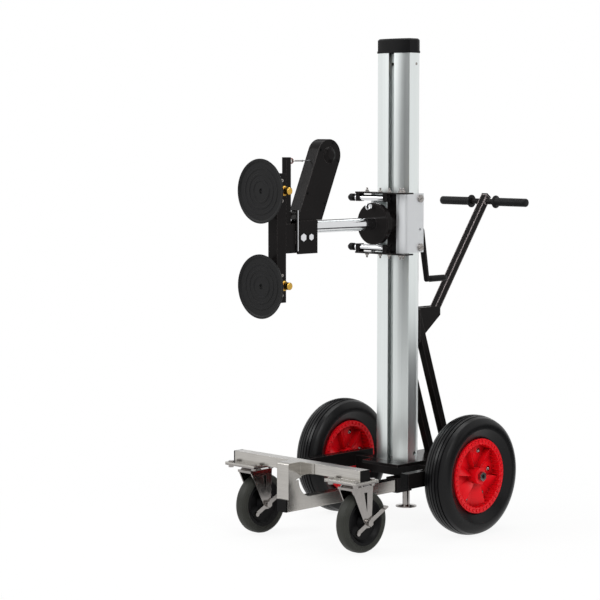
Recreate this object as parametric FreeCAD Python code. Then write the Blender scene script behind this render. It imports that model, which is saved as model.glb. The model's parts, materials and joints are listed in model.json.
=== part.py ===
"""Glass panel lifter: wheeled mast, cranked carriage, turning arm and a tilting pair of suction cups."""
import FreeCAD, Part
import math
import os

V = FreeCAD.Vector

# Fits and clearances
running_gap = 0.05
seat_gap = 0.02
body_gap = 0.5
overrun = 5.0

# Road wheels, turning about X at the axle height
wheel_radius = 200.0
tyre_width = 96.0
tyre_inner_radius = 112.0
tyre_bead_width = 60.0
tyre_tread_width = 76.0
tyre_tread_drop = 9.0
tyre_bulge_share = 0.3
tyre_groove_depth = 3.0
tyre_groove_width = 4.0
tyre_groove_pitch = 12.0
track_width = 585.0
rim_flange_radius = 124.0
rim_flange_thickness = 7.0
rim_barrel_wall = 6.0
rim_web_thickness = 7.0
rim_vane_count = 6
rim_vane_root = 18.0
rim_vane_width = 58.0
rim_vane_height = 27.0
rim_vane_turn_share = 0.13
hub_radius = 27.0
hub_length = 84.0
axle_radius = 10.0
axle_nut_radius = 16.0
axle_nut_length = 11.0

# Chassis, with the axle line at Y = 0
side_tube_width = 30.0
side_tube_height = 50.0
side_tube_wall = 3.0
side_tube_front = 248.0
side_tube_rear = 60.0
wheel_inner_gap = 9.0
cross_tube_size = 50.0
cross_tube_wall = 4.0
base_plate_half_width = 80.0
base_plate_front = 127.0
base_plate_rear = 195.0
base_plate_thickness = 10.0
base_plate_top = 222.0
receiver_size = 50.0
receiver_front = 67.0
receiver_end = 11.0

# Front outrigger
drawbar_size = 40.0
drawbar_wall = 3.0
drawbar_front = 590.0
drawbar_overlap = 40.0
plug_thickness = 5.0
beam_length = 567.0
beam_height = 34.0
beam_depth = 40.0
beam_wall = 2.5
beam_top = 276.0
upright_depth = 59.0
bracket_sheet = 3.0
bracket_edge = 8.0
flange_lip = 2.5
flange_toe = 11.0
gusset_radius = 60.0
gusset_foot = 51.0
wing_half_width = 84.0
wing_radius = 139.0

# Swivel casters under the front beam
caster_spacing = 456.0
caster_radius = 100.0
caster_width = 44.0
caster_trail = 45.0
caster_tyre_thickness = 24.0
caster_tread_shares = ((1.0, 0.3), (1.0, 0.6), (0.85, 0.82), (0.6, 0.95), (0.3, 1.0))
caster_core_width = 38.0
caster_web_thickness = 19.0
caster_hub_radius = 18.0
caster_rim_wall = 9.0
caster_pad_thickness = 5.0
caster_plate_thickness = 5.0
caster_plate_width = 136.0
caster_plate_depth = 106.0
caster_bolt_radius = 5.0
caster_nut_radius = 9.0
caster_nut_height = 8.0
caster_bolt_inset = 14.0
race_radius = 36.0
race_height = 14.0
race_taper_share = 0.83
race_gap = 0.3
fork_leg_thickness = 4.5
fork_leg_gap = 4.0
fork_crown_thickness = 8.0
fork_leg_front_reach = 31.0
fork_leg_back_reach = 68.0
fork_slot_inset = 58.0
fork_slot_width = 14.0
fork_slot_drop = 12.0
fork_slot_rise = 32.0
fork_leg_foot_width = 34.0
caster_axle_radius = 7.0
caster_axle_head = 12.0
brake_thickness = 5.0
brake_front_reach = 60.0
brake_back_reach = 80.0
brake_height = 15.0
brake_boss_radius = 12.0
brake_angle = 27.0
brake_pedal_width = 17.0

# Parking foot behind the receiver
foot_stem_radius = 12.5
foot_sleeve_wall = 6.0
foot_disc_radius = 36.0
foot_disc_thickness = 7.0
foot_clearance = 54.0
foot_stem_top_gap = 8.0

# Mast, a slotted hollow section with a bowed front
mast_width = 142.0
mast_front = 65.0
mast_bow = 12.0
mast_depth = 73.0
mast_corner_radius = 38.0
mast_wall = 4.0
mast_top = 1594.0
mast_hole_radius = 6.5
mast_hole_height = 28.0
slot_width = 24.0
slot_lip_depth = 13.0
slot_lip_thickness = 3.5
cap_height = 48.0
cap_overhang = 0.5
cap_lip_height = 7.0
cap_lip = 1.5
cap_edge = 5.0

# Lifting rope, top sheave and winch
rope_radius = 2.0
rope_x = 25.0
sheave_radius = 19.0
sheave_width = 10.0
sheave_flange = 5.0
sheave_drop = 36.0
sheave_pin_radius = 5.0
winch_height = 995.0
winch_half_width = 26.0
winch_below = 62.0
winch_above = 48.0
winch_depth = 50.0
winch_wall = 5.0
drum_length = 24.0
drum_flange = 5.0
drum_flange_thickness = 3.0
drum_wall_gap = 6.0
crank_shaft_radius = 8.0
crank_plane_gap = 24.0
crank_length = 165.0
crank_angle = 9.0
crank_taper_share = 0.8
crank_arm_width = 24.0
crank_arm_thickness = 7.0
crank_pin_radius = 5.0
crank_grip_radius = 11.0
crank_grip_length = 94.0
crank_grip_edge = 2.5
crank_grip_gap = 1.0

# Push handle on the back of the mast
handle_tube_size = 25.0
handle_tube_wall = 2.0
handle_height = 1087.0
handle_reach = 412.0
handle_tail_height = 710.0
handle_tail_reach = 140.5
handle_top_stub = 22.0
bar_radius = 10.0
bar_length = 374.0
grip_radius = 14.5
grip_length = 140.0
grip_edge = 3.0
grip_flange_radius = 22.5
grip_flange_thickness = 6.0
bracket_plate_thickness = 6.0
bracket_half_width = 56.0
bracket_bottom = 622.0
bracket_top = 735.0
bracket_cheek_thickness = 6.0
bracket_cheek_reach = 160.0
bracket_toe_reach = 52.0
brace_spacing = 84.0
brace_foot_reach = 178.0
brace_head_height = 690.0

# Carriage that climbs the mast
arm_height = 1028.0
carriage_top = 1127.0
carriage_bottom = 930.0
carriage_front_reach = 106.0
carriage_side_thickness = 7.0
carriage_side_gap = 1.0
carriage_corner_radius = 28.0
front_plate_thickness = 12.0
front_post_left = 11.0
front_band_half_height = 50.0
rod_plate_half_width = 116.0
rod_plate_thickness = 5.0
rod_plate_front = 134.0
rod_plate_back = 94.0
rod_plate_corner = 10.0
lock_rod_radius = 10.0
lock_rod_reach = 118.0
lock_rod_drop = 15.0
lock_lug_height = 27.0
lock_lug_width = 16.0
lock_lug_depth = 24.0
lock_rod_left = 118.0
knob_radius = 12.5
knob_length = 26.0
knob_neck_radius = 8.0
knob_neck_length = 7.0
follower_half_width = 52.0
follower_thickness = 20.0
follower_back = 40.0
follower_tongue_half_width = 8.0
glide_gap = 0.6
glide_height = 40.0
guide_screw_radius = 12.5
guide_screw_head = 6.0
guide_screw_slot = 3.0
guide_screw_turn = 25.0
guide_screw_inset = 17.0
guide_screw_setback = 18.0
side_hole_radius = 4.5
hub_housing_radius = 48.0
hub_face_reach = 146.0
bush_wall = 6.0
bush_length = 12.0

# Turning arm and its head
arm_radius = 21.0
arm_wall = 4.0
arm_back_reach = 112.0
arm_front_reach = 477.0
disc_radius = 70.0
disc_thickness = 23.0
disc_edge = 3.0
plunger_radius = 5.0
plunger_offset = 58.0
plunger_collar_radius = 8.0
plunger_collar_length = 10.0
plunger_travel_gap = 9.0
pull_ring_radius = 10.0
pull_ring_wire = 2.2
head_half_width = 30.0
head_back = 461.0
head_slot_back = 484.0
head_nose = 548.0
head_bottom = 945.0
head_top = 1051.0
fork_half_gap = 22.0
rung_size = 5.0
strip_thickness = 3.0
strip_bottom = 955.0
strip_top = 1085.0
tilt_pin_radius = 8.0
tilt_pin_head = 13.0
tilt_pin_head_length = 7.0
cheek_bolt_radius = 11.0
cheek_bolt_setback = 35.0
balancer_radius = 51.5
balancer_half_width = 24.0
balancer_top_reach = 400.0
balancer_top_height = 1258.0
balancer_lean = 23.7
balancer_wall = 3.5
balancer_dome_radius = 27.0
balancer_dome_height = 9.0
balancer_dome_edge = 3.0

# Tilting cup frame, upright at rest
pivot_reach = 531.0
pivot_height = 998.0
lever_size = 20.0
cup_bar_size = 40.0
lever_offset = 41.0
lever_top = 1253.0
cup_bar_offset = 83.0
cup_bar_length = 110.0
cup_spacing = 300.0
tilt_block_half_width = 19.0
tilt_block_half_height = 44.0
tilt_lug_radius = 20.0
tilt_lug_half_width = 21.0
cup_radius = 102.0
cup_lip_thickness = 3.0
cup_pad_depth = 20.0
cup_back_radius = 78.0
cup_plate_thickness = 6.0
cup_dish_depth = 4.0
cup_ring_width = 5.0
cup_ring_depth = 1.6
cup_ring_radius_shares = (0.3, 0.48, 0.66)
cup_seal_width = 9.0
mount_spacing = 120.0
mount_top_radius = 20.0
mount_base_radius = 27.0
mount_height = 30.0
valve_radius = 12.0
valve_length = 22.0
valve_ring_radius = 16.0
valve_ring_length = 13.0
valve_edge = 2.5
valve_stem_radius = 6.0
valve_stem_length = 5.0
valve_stroke_gap = 4.0
eye_radius = 7.0
eye_wire = 2.5
eye_foot_radius = 3.5
eye_foot_length = 3.0
eye_height = 1241.0
hook_length = 44.0
hook_half_width = 8.0
hook_wire = 2.2
wire_radius = 1.8

# Places that follow from the sizes above
axle_height = wheel_radius
mast_back = mast_depth - mast_front
wheel_x = track_width / 2
side_tube_outer = wheel_x - tyre_width / 2 - wheel_inner_gap
side_tube_inner = side_tube_outer - side_tube_width
cross_top = base_plate_top - base_plate_thickness
cross_bottom = cross_top - cross_tube_size
drawbar_z = cross_bottom - receiver_size / 2
beam_front = -(drawbar_front - upright_depth)
beam_back = beam_front + beam_depth
beam_bottom = beam_top - beam_height
swivel_y = (beam_front + beam_back) / 2
caster_plate_top = beam_bottom - caster_pad_thickness
caster_plate_bottom = caster_plate_top - caster_plate_thickness
caster_fork_half = caster_width / 2 + fork_leg_gap
receiver_rear = -receiver_end
foot_y = receiver_rear + foot_stem_radius + foot_sleeve_wall + seat_gap
mast_inner_half = mast_width / 2 - mast_wall
rope_front_y = -(follower_back + follower_thickness / 2)
rope_back_y = rope_front_y + 2 * sheave_radius
sheave_z = mast_top - sheave_drop
drum_front_y = rope_back_y - drum_length / 2
drum_radius = rope_x - rope_radius
winch_back = mast_back + winch_depth
crank_y = winch_back + crank_plane_gap
carriage_side_inner = mast_width / 2 + carriage_side_gap
front_plate_back = -(carriage_front_reach - front_plate_thickness)
cup_bar_y = -(pivot_reach + cup_bar_offset)
cup_mount_y = cup_bar_y - cup_bar_size / 2
cup_plate_y = cup_mount_y - mount_height
cup_pad_y = cup_plate_y - cup_plate_thickness
cup_face_y = cup_pad_y - cup_pad_depth
lever_y = -(pivot_reach + lever_offset)
stem_rise = handle_height - handle_tail_height
stem_reach = handle_reach - handle_tail_reach
stem_length = math.hypot(stem_rise, stem_reach)
stem_top = stem_length + handle_top_stub
lever_face_y = lever_y + lever_size / 2
eye_y = lever_face_y + eye_foot_length + eye_wire + eye_radius
hook_front_y = eye_y + eye_radius - eye_wire - hook_wire - body_gap / 2 + hook_half_width
hook_back_y = hook_front_y + hook_length - 2 * hook_half_width
hook_end_y = hook_back_y + hook_half_width + hook_wire
rear_reach = handle_reach + grip_flange_radius
centre_shift = -(cup_face_y + rear_reach) / 2


def block(x0, x1, y0, y1, z0, z1):
    """A box between two corners."""
    return Part.makeBox(x1 - x0, y1 - y0, z1 - z0, V(x0, y0, z0))


def rod(radius, start, end):
    """A round bar between two points."""
    way = end - start
    return Part.makeCylinder(radius, way.Length, start, way)


def pipe(outer, inner, start, end):
    """A round tube between two points."""
    return rod(outer, start, end).cut(rod(inner, start, end))


def slab(points, axis, near, far):
    """A flat outline, given in the two other axes in order, drawn out along one axis."""
    places = {
        "x": lambda a, b: V(near, a, b),
        "y": lambda a, b: V(a, near, b),
        "z": lambda a, b: V(a, b, near),
    }
    ways = {"x": V(1, 0, 0), "y": V(0, 1, 0), "z": V(0, 0, 1)}
    loop = [places[axis](a, b) for a, b in points]
    face = Part.Face(Part.makePolygon(loop + loop[:1]))
    return face.extrude(ways[axis] * (far - near))


def turned(profile, centre, way):
    """A body of revolution from (along, radius) points about a line through centre."""
    loop = [V(radius, 0, along) for along, radius in profile]
    face = Part.Face(Part.makePolygon(loop + loop[:1]))
    solid = face.revolve(V(0, 0, 0), V(0, 0, 1), 360)
    turn = FreeCAD.Rotation(V(0, 0, 1), way)
    solid.Placement = FreeCAD.Placement(centre, turn)
    return solid


def joined(shapes):
    """Several solids that are one piece."""
    whole = shapes[0]
    for shape in shapes[1:]:
        whole = whole.fuse(shape)
    return whole.removeSplitter()


def group(shapes):
    """Several separate solids that share a node."""
    return Part.makeCompound(shapes)


def mirrored(shape):
    """The same piece on the other side of the machine."""
    return shape.mirror(V(0, 0, 0), V(1, 0, 0))


def save(name, shape):
    """Write one sub-part, moved so that the machine is centred front to back."""
    placed = shape.copy()
    placed.translate(V(0, centre_shift, 0))
    placed.exportStep("parts/%s.step" % name)


def hexagon(radius, centre, way, length):
    """A six-sided nut or bolt head."""
    corners = [V(radius * math.cos(k * math.pi / 3), radius * math.sin(k * math.pi / 3),
                 0) for k in range(7)]
    nut = Part.Face(Part.makePolygon(corners)).extrude(V(0, 0, length))
    nut.Placement = FreeCAD.Placement(centre, FreeCAD.Rotation(V(0, 0, 1), way))
    return nut


def square_tube_x(half, y, z, size_y, size_z, wall):
    """A rectangular tube along X."""
    outer = block(-half, half, y - size_y / 2, y + size_y / 2, z - size_z / 2, z + size_z / 2)
    return outer.cut(block(-half - overrun, half + overrun, y - size_y / 2 + wall, y + size_y / 2 - wall,
                           z - size_z / 2 + wall, z + size_z / 2 - wall))


def square_tube_y(y0, y1, z, size, wall):
    """A square tube along Y on the middle plane."""
    half = size / 2
    bore = half - wall
    return block(-half, half, y0, y1, z - half, z + half).cut(
        block(-bore, bore, y0 - overrun, y1 + overrun, z - bore, z + bore))


def road_tyre():
    """Right-hand tyre with a round tread, tread grooves and a straight bead."""
    half = tyre_width / 2
    bead = tyre_bead_width / 2
    tread = tyre_tread_width / 2
    shoulder = wheel_radius - tyre_tread_drop
    belly = (wheel_radius + tyre_inner_radius) / 2
    seat = rim_flange_radius + body_gap
    bulge = half - (half - tread) * tyre_bulge_share
    bulge_radius = belly + (shoulder - belly) * (1 - tyre_bulge_share)
    edges = [
        Part.LineSegment(V(-bead, 0, tyre_inner_radius), V(bead, 0, tyre_inner_radius)),
        Part.LineSegment(V(bead, 0, tyre_inner_radius), V(bead, 0, seat)),
        Part.LineSegment(V(bead, 0, seat), V(half, 0, belly)),
        Part.Arc(V(half, 0, belly), V(bulge, 0, bulge_radius), V(tread, 0, shoulder)),
        Part.Arc(V(tread, 0, shoulder), V(0, 0, wheel_radius), V(-tread, 0, shoulder)),
        Part.Arc(V(-tread, 0, shoulder), V(-bulge, 0, bulge_radius), V(-half, 0, belly)),
        Part.LineSegment(V(-half, 0, belly), V(-bead, 0, seat)),
        Part.LineSegment(V(-bead, 0, seat), V(-bead, 0, tyre_inner_radius)),
    ]
    profile = Part.Face(Part.Wire([edge.toShape() for edge in edges]))
    tyre = profile.revolve(V(0, 0, 0), V(1, 0, 0), 360)
    crown = (tread * tread + tyre_tread_drop * tyre_tread_drop) / tyre_tread_drop / 2
    for step in (-2, -1, 0, 1, 2):
        middle = step * tyre_groove_pitch
        surface = wheel_radius - crown + math.sqrt(crown * crown - middle * middle)
        groove = pipe(wheel_radius + overrun, surface - tyre_groove_depth,
                      V(middle - tyre_groove_width / 2, 0, 0), V(middle + tyre_groove_width / 2, 0, 0))
        tyre = tyre.cut(groove)
    tyre.translate(V(wheel_x, 0, axle_height))
    return tyre


def rim_vane(near, far):
    """Fan-like rib on one side of the rim's web: it widens outwards, with a steep side and a sloped one."""
    sections = []
    for radius, width in ((near, rim_vane_root), (far, rim_vane_width)):
        corners = [V(0, -width / 2, radius), V(rim_vane_height, -width / 2, radius),
                   V(0, width / 2, radius), V(0, -width / 2, radius)]
        sections.append(Part.makePolygon(corners))
    vane = Part.makeLoft(sections, True, True)
    return vane.common(rod(far, V(0, 0, 0), V(rim_vane_height, 0, 0)))


def road_rim():
    """Right-hand rim: a barrel with flanges, a middle web with vanes on both sides, and a bored hub."""
    inner = tyre_inner_radius - seat_gap
    outer_edge = tyre_bead_width / 2 + rim_flange_thickness
    barrel = pipe(inner, inner - rim_barrel_wall, V(-outer_edge, 0, 0), V(outer_edge, 0, 0))
    parts = [barrel]
    for side in (-1, 1):
        start = side * (outer_edge - rim_flange_thickness + seat_gap)
        parts.append(pipe(rim_flange_radius, inner - rim_barrel_wall / 2, V(start, 0, 0),
                          V(start + side * rim_flange_thickness, 0, 0)))
    web = rim_web_thickness / 2
    parts.append(pipe(inner - rim_barrel_wall / 2, axle_radius + running_gap, V(-web, 0, 0), V(web, 0, 0)))
    parts.append(pipe(hub_radius, axle_radius + running_gap, V(-hub_length / 2, 0, 0),
                      V(hub_length / 2, 0, 0)))
    vane = rim_vane(hub_radius - rim_barrel_wall, inner - rim_barrel_wall / 2)
    for k in range(rim_vane_count):
        turn = vane.copy()
        turn.rotate(V(0, 0, 0), V(1, 0, 0), 360 * (k + rim_vane_turn_share) / rim_vane_count)
        parts += [turn, mirrored(turn)]
    rim = joined(parts)
    rim.translate(V(wheel_x, 0, axle_height))
    return rim


def axle_stub():
    """Right-hand stub axle: it sits in the side tube and carries the wheel between a collar and a nut."""
    collar_end = wheel_x - hub_length / 2 - body_gap
    nut_start = wheel_x + hub_length / 2 + body_gap
    tip = nut_start + axle_nut_length
    shaft = rod(axle_radius, V(side_tube_inner, 0, axle_height), V(tip, 0, axle_height))
    collar = rod(axle_nut_radius, V(side_tube_outer, 0, axle_height), V(collar_end, 0, axle_height))
    nut = hexagon(axle_nut_radius, V(nut_start, 0, axle_height), V(1, 0, 0), axle_nut_length)
    return joined([shaft, collar, nut])


def make_wheels():
    """Both road wheels and their axles."""
    save("tyre_right", road_tyre())
    save("tyre_left", mirrored(road_tyre()))
    save("rim_right", road_rim())
    save("rim_left", mirrored(road_rim()))
    save("axle_stubs", group([axle_stub(), mirrored(axle_stub())]))


def make_chassis():
    """Base plate, cross tube, wheel-side tubes and the receiver for the outrigger."""
    save("base_plate", block(-base_plate_half_width, base_plate_half_width, -base_plate_front,
                             base_plate_rear,
                             cross_top, base_plate_top))
    cross_z = (cross_top + cross_bottom) / 2
    cross = square_tube_x(side_tube_inner, 0, cross_z, cross_tube_size, cross_tube_size, cross_tube_wall)
    stem_hole = rod(foot_stem_radius + running_gap, V(0, foot_y, cross_bottom - overrun),
                    V(0, foot_y, cross_bottom + cross_tube_wall + overrun))
    cross = cross.cut(stem_hole)
    save("cross_tube", cross)
    low = axle_height - side_tube_height / 2
    high = axle_height + side_tube_height / 2
    side = block(side_tube_inner, side_tube_outer, -side_tube_front, side_tube_rear, low, high)
    side = side.cut(block(side_tube_inner + side_tube_wall, side_tube_outer - side_tube_wall,
                          -side_tube_front - overrun, side_tube_rear + overrun,
                          low + side_tube_wall, high - side_tube_wall))
    side = side.cut(rod(axle_radius + seat_gap, V(side_tube_inner - overrun, 0, axle_height),
                        V(side_tube_outer + overrun, 0, axle_height)))
    save("side_tubes", group([side, mirrored(side)]))
    socket = square_tube_y(-receiver_front, receiver_rear, drawbar_z, receiver_size,
                           (receiver_size - drawbar_size) / 2 - seat_gap)
    sleeve = pipe(foot_stem_radius + foot_sleeve_wall, foot_stem_radius + running_gap,
                  V(0, foot_y, drawbar_z - receiver_size / 2), V(0, foot_y, cross_bottom))
    web = block(-receiver_size / 2, receiver_size / 2, receiver_rear, foot_y,
                drawbar_z - receiver_size / 2, cross_bottom)
    web = web.cut(rod(foot_stem_radius + running_gap, V(0, foot_y, drawbar_z - receiver_size),
                      V(0, foot_y, cross_bottom + overrun)))
    save("receiver_tube", joined([socket, web, sleeve]))


def make_parking_foot():
    """Screw-down foot: a stem through the sleeve with a disc under it."""
    stem_top = cross_top - cross_tube_wall - foot_stem_top_gap
    stem = rod(foot_stem_radius, V(0, foot_y, foot_clearance), V(0, foot_y, stem_top))
    disc = turned([(0, 0), (0, foot_disc_radius), (foot_disc_thickness / 2, foot_disc_radius),
                   (foot_disc_thickness, foot_stem_radius), (foot_disc_thickness, 0)],
                  V(0, foot_y, foot_clearance), V(0, 0, 1))
    save("parking_foot", joined([stem, disc]))


def make_outrigger():
    """Draw tube, welded upright with hollow gussets, front beam and plastic plugs."""
    half = drawbar_size / 2
    save("drawbar", square_tube_y(-drawbar_front, -receiver_front + drawbar_overlap, drawbar_z,
                                  drawbar_size, drawbar_wall))
    save("front_bracket", front_bracket())
    beam_half = beam_length / 2
    beam_y = (beam_front + beam_back) / 2
    beam = square_tube_x(beam_half, beam_y, beam_top - beam_height / 2, beam_depth, beam_height, beam_wall)
    pads = [caster_pad(side) for side in (-1, 1)]
    save("front_beam", group([beam] + pads))
    plug_gap = beam_wall + seat_gap
    plug = joined([block(beam_half, beam_half + plug_thickness, beam_front, beam_back, beam_bottom,
                         beam_top),
                   block(beam_half - plug_thickness * 2, beam_half, beam_front + plug_gap,
                         beam_back - plug_gap,
                         beam_bottom + plug_gap, beam_top - plug_gap)])
    tail = half - drawbar_wall - seat_gap
    bar_plug = joined([block(-half, half, -drawbar_front - plug_thickness, -drawbar_front, drawbar_z - half,
                             drawbar_z + half),
                       block(-tail, tail, -drawbar_front, -drawbar_front + plug_thickness * 2,
                             drawbar_z - tail, drawbar_z + tail)])
    ends = [side_plug(-side_tube_front, -1), side_plug(side_tube_rear, 1)]
    plugs = [plug, mirrored(plug), bar_plug, stem_plug()] + ends + [mirrored(end) for end in ends]
    save("tube_plugs", group(plugs))


def front_bracket():
    """Folded sheet that carries the beam: front and top plates, flanges, side sheets and two wings."""
    inner = drawbar_size / 2
    outer = inner + 2 * bracket_sheet
    front = -drawbar_front
    low = drawbar_z + inner
    plates = joined([block(-outer, outer, front, front + bracket_sheet, low, beam_top),
                     block(-outer, outer, front, beam_front, beam_top - bracket_sheet, beam_top),
                     block(-outer, outer, beam_front - bracket_sheet, beam_front, beam_bottom, beam_top)])
    edges = [e for e in plates.Edges if e.BoundBox.XLength > outer and e.BoundBox.YMax < front + flange_lip
             and e.BoundBox.ZMin > beam_top - flange_lip]
    pieces = [plates.makeFillet(bracket_edge, edges)]
    hollow_z = low + flange_toe
    hollow = upright_depth - flange_lip
    flange = block(inner, outer, front, beam_front, low, beam_top)
    flange = flange.cut(rod(hollow, V(0, beam_front, hollow_z), V(2 * outer, beam_front, hollow_z)))
    flange = flange.cut(block(0, 2 * outer, beam_front - hollow, beam_front + overrun, low - overrun,
                              hollow_z))
    corner = block(inner, outer, front, front + bracket_edge, beam_top - bracket_edge, beam_top)
    corner = corner.cut(rod(bracket_edge, V(0, front + bracket_edge, beam_top - bracket_edge),
                            V(2 * outer, front + bracket_edge, beam_top - bracket_edge)))
    flange = flange.cut(corner)
    tail = beam_front + gusset_foot
    sheet = block(inner, inner + bracket_sheet, front, tail, drawbar_z - inner + bracket_sheet,
                  low + gusset_radius)
    sheet = sheet.cut(rod(gusset_radius, V(0, tail, low + gusset_radius),
                          V(2 * outer, tail, low + gusset_radius)))
    wing = block(outer, wing_half_width, beam_front - bracket_sheet, beam_front, beam_bottom - wing_radius,
                 beam_top)
    wing_z = beam_bottom - wing_radius
    wing = wing.cut(rod(wing_radius, V(wing_half_width, beam_front - upright_depth, wing_z),
                        V(wing_half_width, beam_front + overrun, wing_z)))
    for piece in (flange, sheet, wing):
        pieces += [piece, mirrored(piece)]
    return joined(pieces)


def side_plug(face, way):
    """Plug in one end of the right-hand side tube."""
    low = axle_height - side_tube_height / 2
    high = axle_height + side_tube_height / 2
    gap = side_tube_wall + seat_gap
    head = block(side_tube_inner, side_tube_outer, *sorted((face, face + way * plug_thickness)), low, high)
    tail = block(side_tube_inner + gap, side_tube_outer - gap,
                 *sorted((face, face - way * plug_thickness * 2)),
                 low + gap, high - gap)
    return joined([head, tail])


def stem_plug():
    """Plug in the top end of the handle stem."""
    head = stem_slab(handle_tube_size / 2, stem_top, stem_top + plug_thickness)
    tail = stem_slab(handle_tube_size / 2 - handle_tube_wall - seat_gap, stem_top - plug_thickness,
                     stem_top)
    return joined([head, tail])


def stem_slab(half, start, end):
    """A square bar on the handle stem's line, between two distances from its tail."""
    way = V(0, stem_reach / stem_length, stem_rise / stem_length)
    side = V(0, way.z, -way.y) * half
    tail = V(0, handle_tail_reach, handle_tail_height)
    corners = [tail + way * start + side, tail + way * end + side, tail + way * end - side,
               tail + way * start - side]
    return slab([(p.y, p.z) for p in corners], "x", -half, half)


def caster_rect(side, z0, z1):
    """A plate of the caster's footprint on one side."""
    x = side * caster_spacing / 2
    return block(x - caster_plate_width / 2, x + caster_plate_width / 2, swivel_y - caster_plate_depth / 2,
                 swivel_y + caster_plate_depth / 2, z0, z1)


def caster_bolt_places(side):
    """The four bolt centres of one caster plate."""
    x = side * caster_spacing / 2
    reach_x = caster_plate_width / 2 - caster_bolt_inset
    reach_y = caster_plate_depth / 2 - caster_bolt_inset
    return [(x + a * reach_x, swivel_y + b * reach_y) for a in (-1, 1) for b in (-1, 1)]


def drill(shape, places, radius, z0, z1):
    """Upright holes at the given places."""
    for x, y in places:
        shape = shape.cut(rod(radius, V(x, y, z0 - overrun), V(x, y, z1 + overrun)))
    return shape


def caster_pad(side):
    """The plate welded under the beam to take a caster."""
    plate = caster_rect(side, caster_plate_top, beam_bottom)
    return drill(plate, caster_bolt_places(side), caster_bolt_radius + seat_gap, caster_plate_top,
                 beam_bottom)


def caster_top(side):
    """The caster's own top plate with the fixed half of the ball race."""
    x = side * caster_spacing / 2
    plate = caster_rect(side, caster_plate_bottom, caster_plate_top)
    plate = drill(plate, caster_bolt_places(side), caster_bolt_radius + seat_gap, caster_plate_bottom,
                  caster_plate_top)
    race = turned([(0, 0), (0, race_radius), (race_height / 2, race_radius * race_taper_share),
                   (race_height / 2, 0)],
                  V(x, swivel_y, caster_plate_bottom), V(0, 0, -1))
    return joined([plate, race])


def caster_bolt(x, y):
    """A bolt through pad and plate, with a nut below and a head above."""
    shank = rod(caster_bolt_radius, V(x, y, caster_plate_bottom - caster_nut_height),
                V(x, y, beam_bottom + caster_nut_height / 2))
    nut = hexagon(caster_nut_radius, V(x, y, caster_plate_bottom), V(0, 0, -1), caster_nut_height)
    head = hexagon(caster_nut_radius, V(x, y, beam_bottom), V(0, 0, 1), caster_nut_height / 2)
    return joined([shank, nut, head])


def caster_fork(side):
    """Swivelling fork: lower race, crown and two slotted legs tapering to the axle, with the axle bolt."""
    x = side * caster_spacing / 2
    wheel_y = swivel_y + caster_trail
    race_top = caster_plate_bottom - race_height / 2 - race_gap
    crown_top = race_top - race_height / 2
    crown_bottom = crown_top - fork_crown_thickness
    outer = caster_fork_half + fork_leg_thickness
    race = turned([(0, 0), (0, race_radius * race_taper_share), (race_height / 2, race_radius),
                   (race_height / 2, 0)],
                  V(x, swivel_y, race_top), V(0, 0, -1))
    front = swivel_y - fork_leg_front_reach
    back = swivel_y + fork_leg_back_reach
    crown = block(x - outer, x + outer, front, back, crown_bottom, crown_top)
    pieces = [race, crown]
    foot = fork_leg_foot_width / 2
    outline = [(front, crown_top), (back, crown_top),
               (wheel_y + foot, caster_radius), (wheel_y + foot / 2, caster_radius - foot),
               (wheel_y - foot / 2, caster_radius - foot), (wheel_y - foot, caster_radius)]
    for way in (-1, 1):
        near, far = sorted((x + way * caster_fork_half, x + way * outer))
        leg = slab(outline, "x", near, far)
        pieces.append(leg)
    fork = joined(pieces)
    slot_front = front + fork_slot_inset
    slot_back = slot_front + fork_slot_width
    slot_top = crown_bottom - fork_slot_drop
    slot = slab([(slot_front, slot_top), (slot_back, slot_top), (slot_back, caster_radius + fork_slot_rise)],
                "x", x - outer - overrun, x + outer + overrun)
    fork = fork.cut(slot)
    fork = fork.cut(rod(caster_axle_radius + seat_gap, V(x - outer - overrun, wheel_y, caster_radius),
                        V(x + outer + overrun, wheel_y, caster_radius)))
    shank = rod(caster_axle_radius, V(x - outer - caster_axle_radius, wheel_y, caster_radius),
                V(x + outer + brake_thickness + caster_axle_radius + 2 * body_gap, wheel_y, caster_radius))
    head = hexagon(caster_axle_head, V(x - outer, wheel_y, caster_radius), V(-1, 0, 0), caster_axle_radius)
    nut = hexagon(caster_axle_head, V(x + outer + brake_thickness + 2 * body_gap, wheel_y, caster_radius),
                  V(1, 0, 0), caster_axle_radius)
    return group([fork, joined([shank, head, nut])])


def caster_wheel(side):
    """Rubber tyre and plastic core of one caster wheel."""
    x = side * caster_spacing / 2
    wheel_y = swivel_y + caster_trail
    bead = caster_radius - caster_tyre_thickness
    half = caster_width / 2
    core_half = caster_core_width / 2
    centre = V(x, wheel_y, caster_radius)
    rim = bead - seat_gap
    profile = [(-core_half, bead), (core_half, bead)]
    profile += [(half * wide, bead + caster_tyre_thickness * deep) for wide, deep in caster_tread_shares]
    profile += [(-half * wide, bead + caster_tyre_thickness * deep) for wide,
                deep in reversed(caster_tread_shares)]
    tyre = turned(profile, centre, V(1, 0, 0))
    hub_half = caster_fork_half - body_gap
    web = caster_web_thickness / 2
    lip = rim - caster_rim_wall
    bore = caster_axle_radius + running_gap
    core = turned([(-hub_half, bore), (-hub_half, caster_hub_radius), (-web, caster_hub_radius + web),
                   (-web, lip - web), (-core_half, lip), (-core_half, rim), (core_half, rim),
                   (core_half, lip),
                   (web, lip - web), (web, caster_hub_radius + web), (hub_half, caster_hub_radius),
                   (hub_half, bore)],
                  centre, V(1, 0, 0))
    return tyre, core


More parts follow.
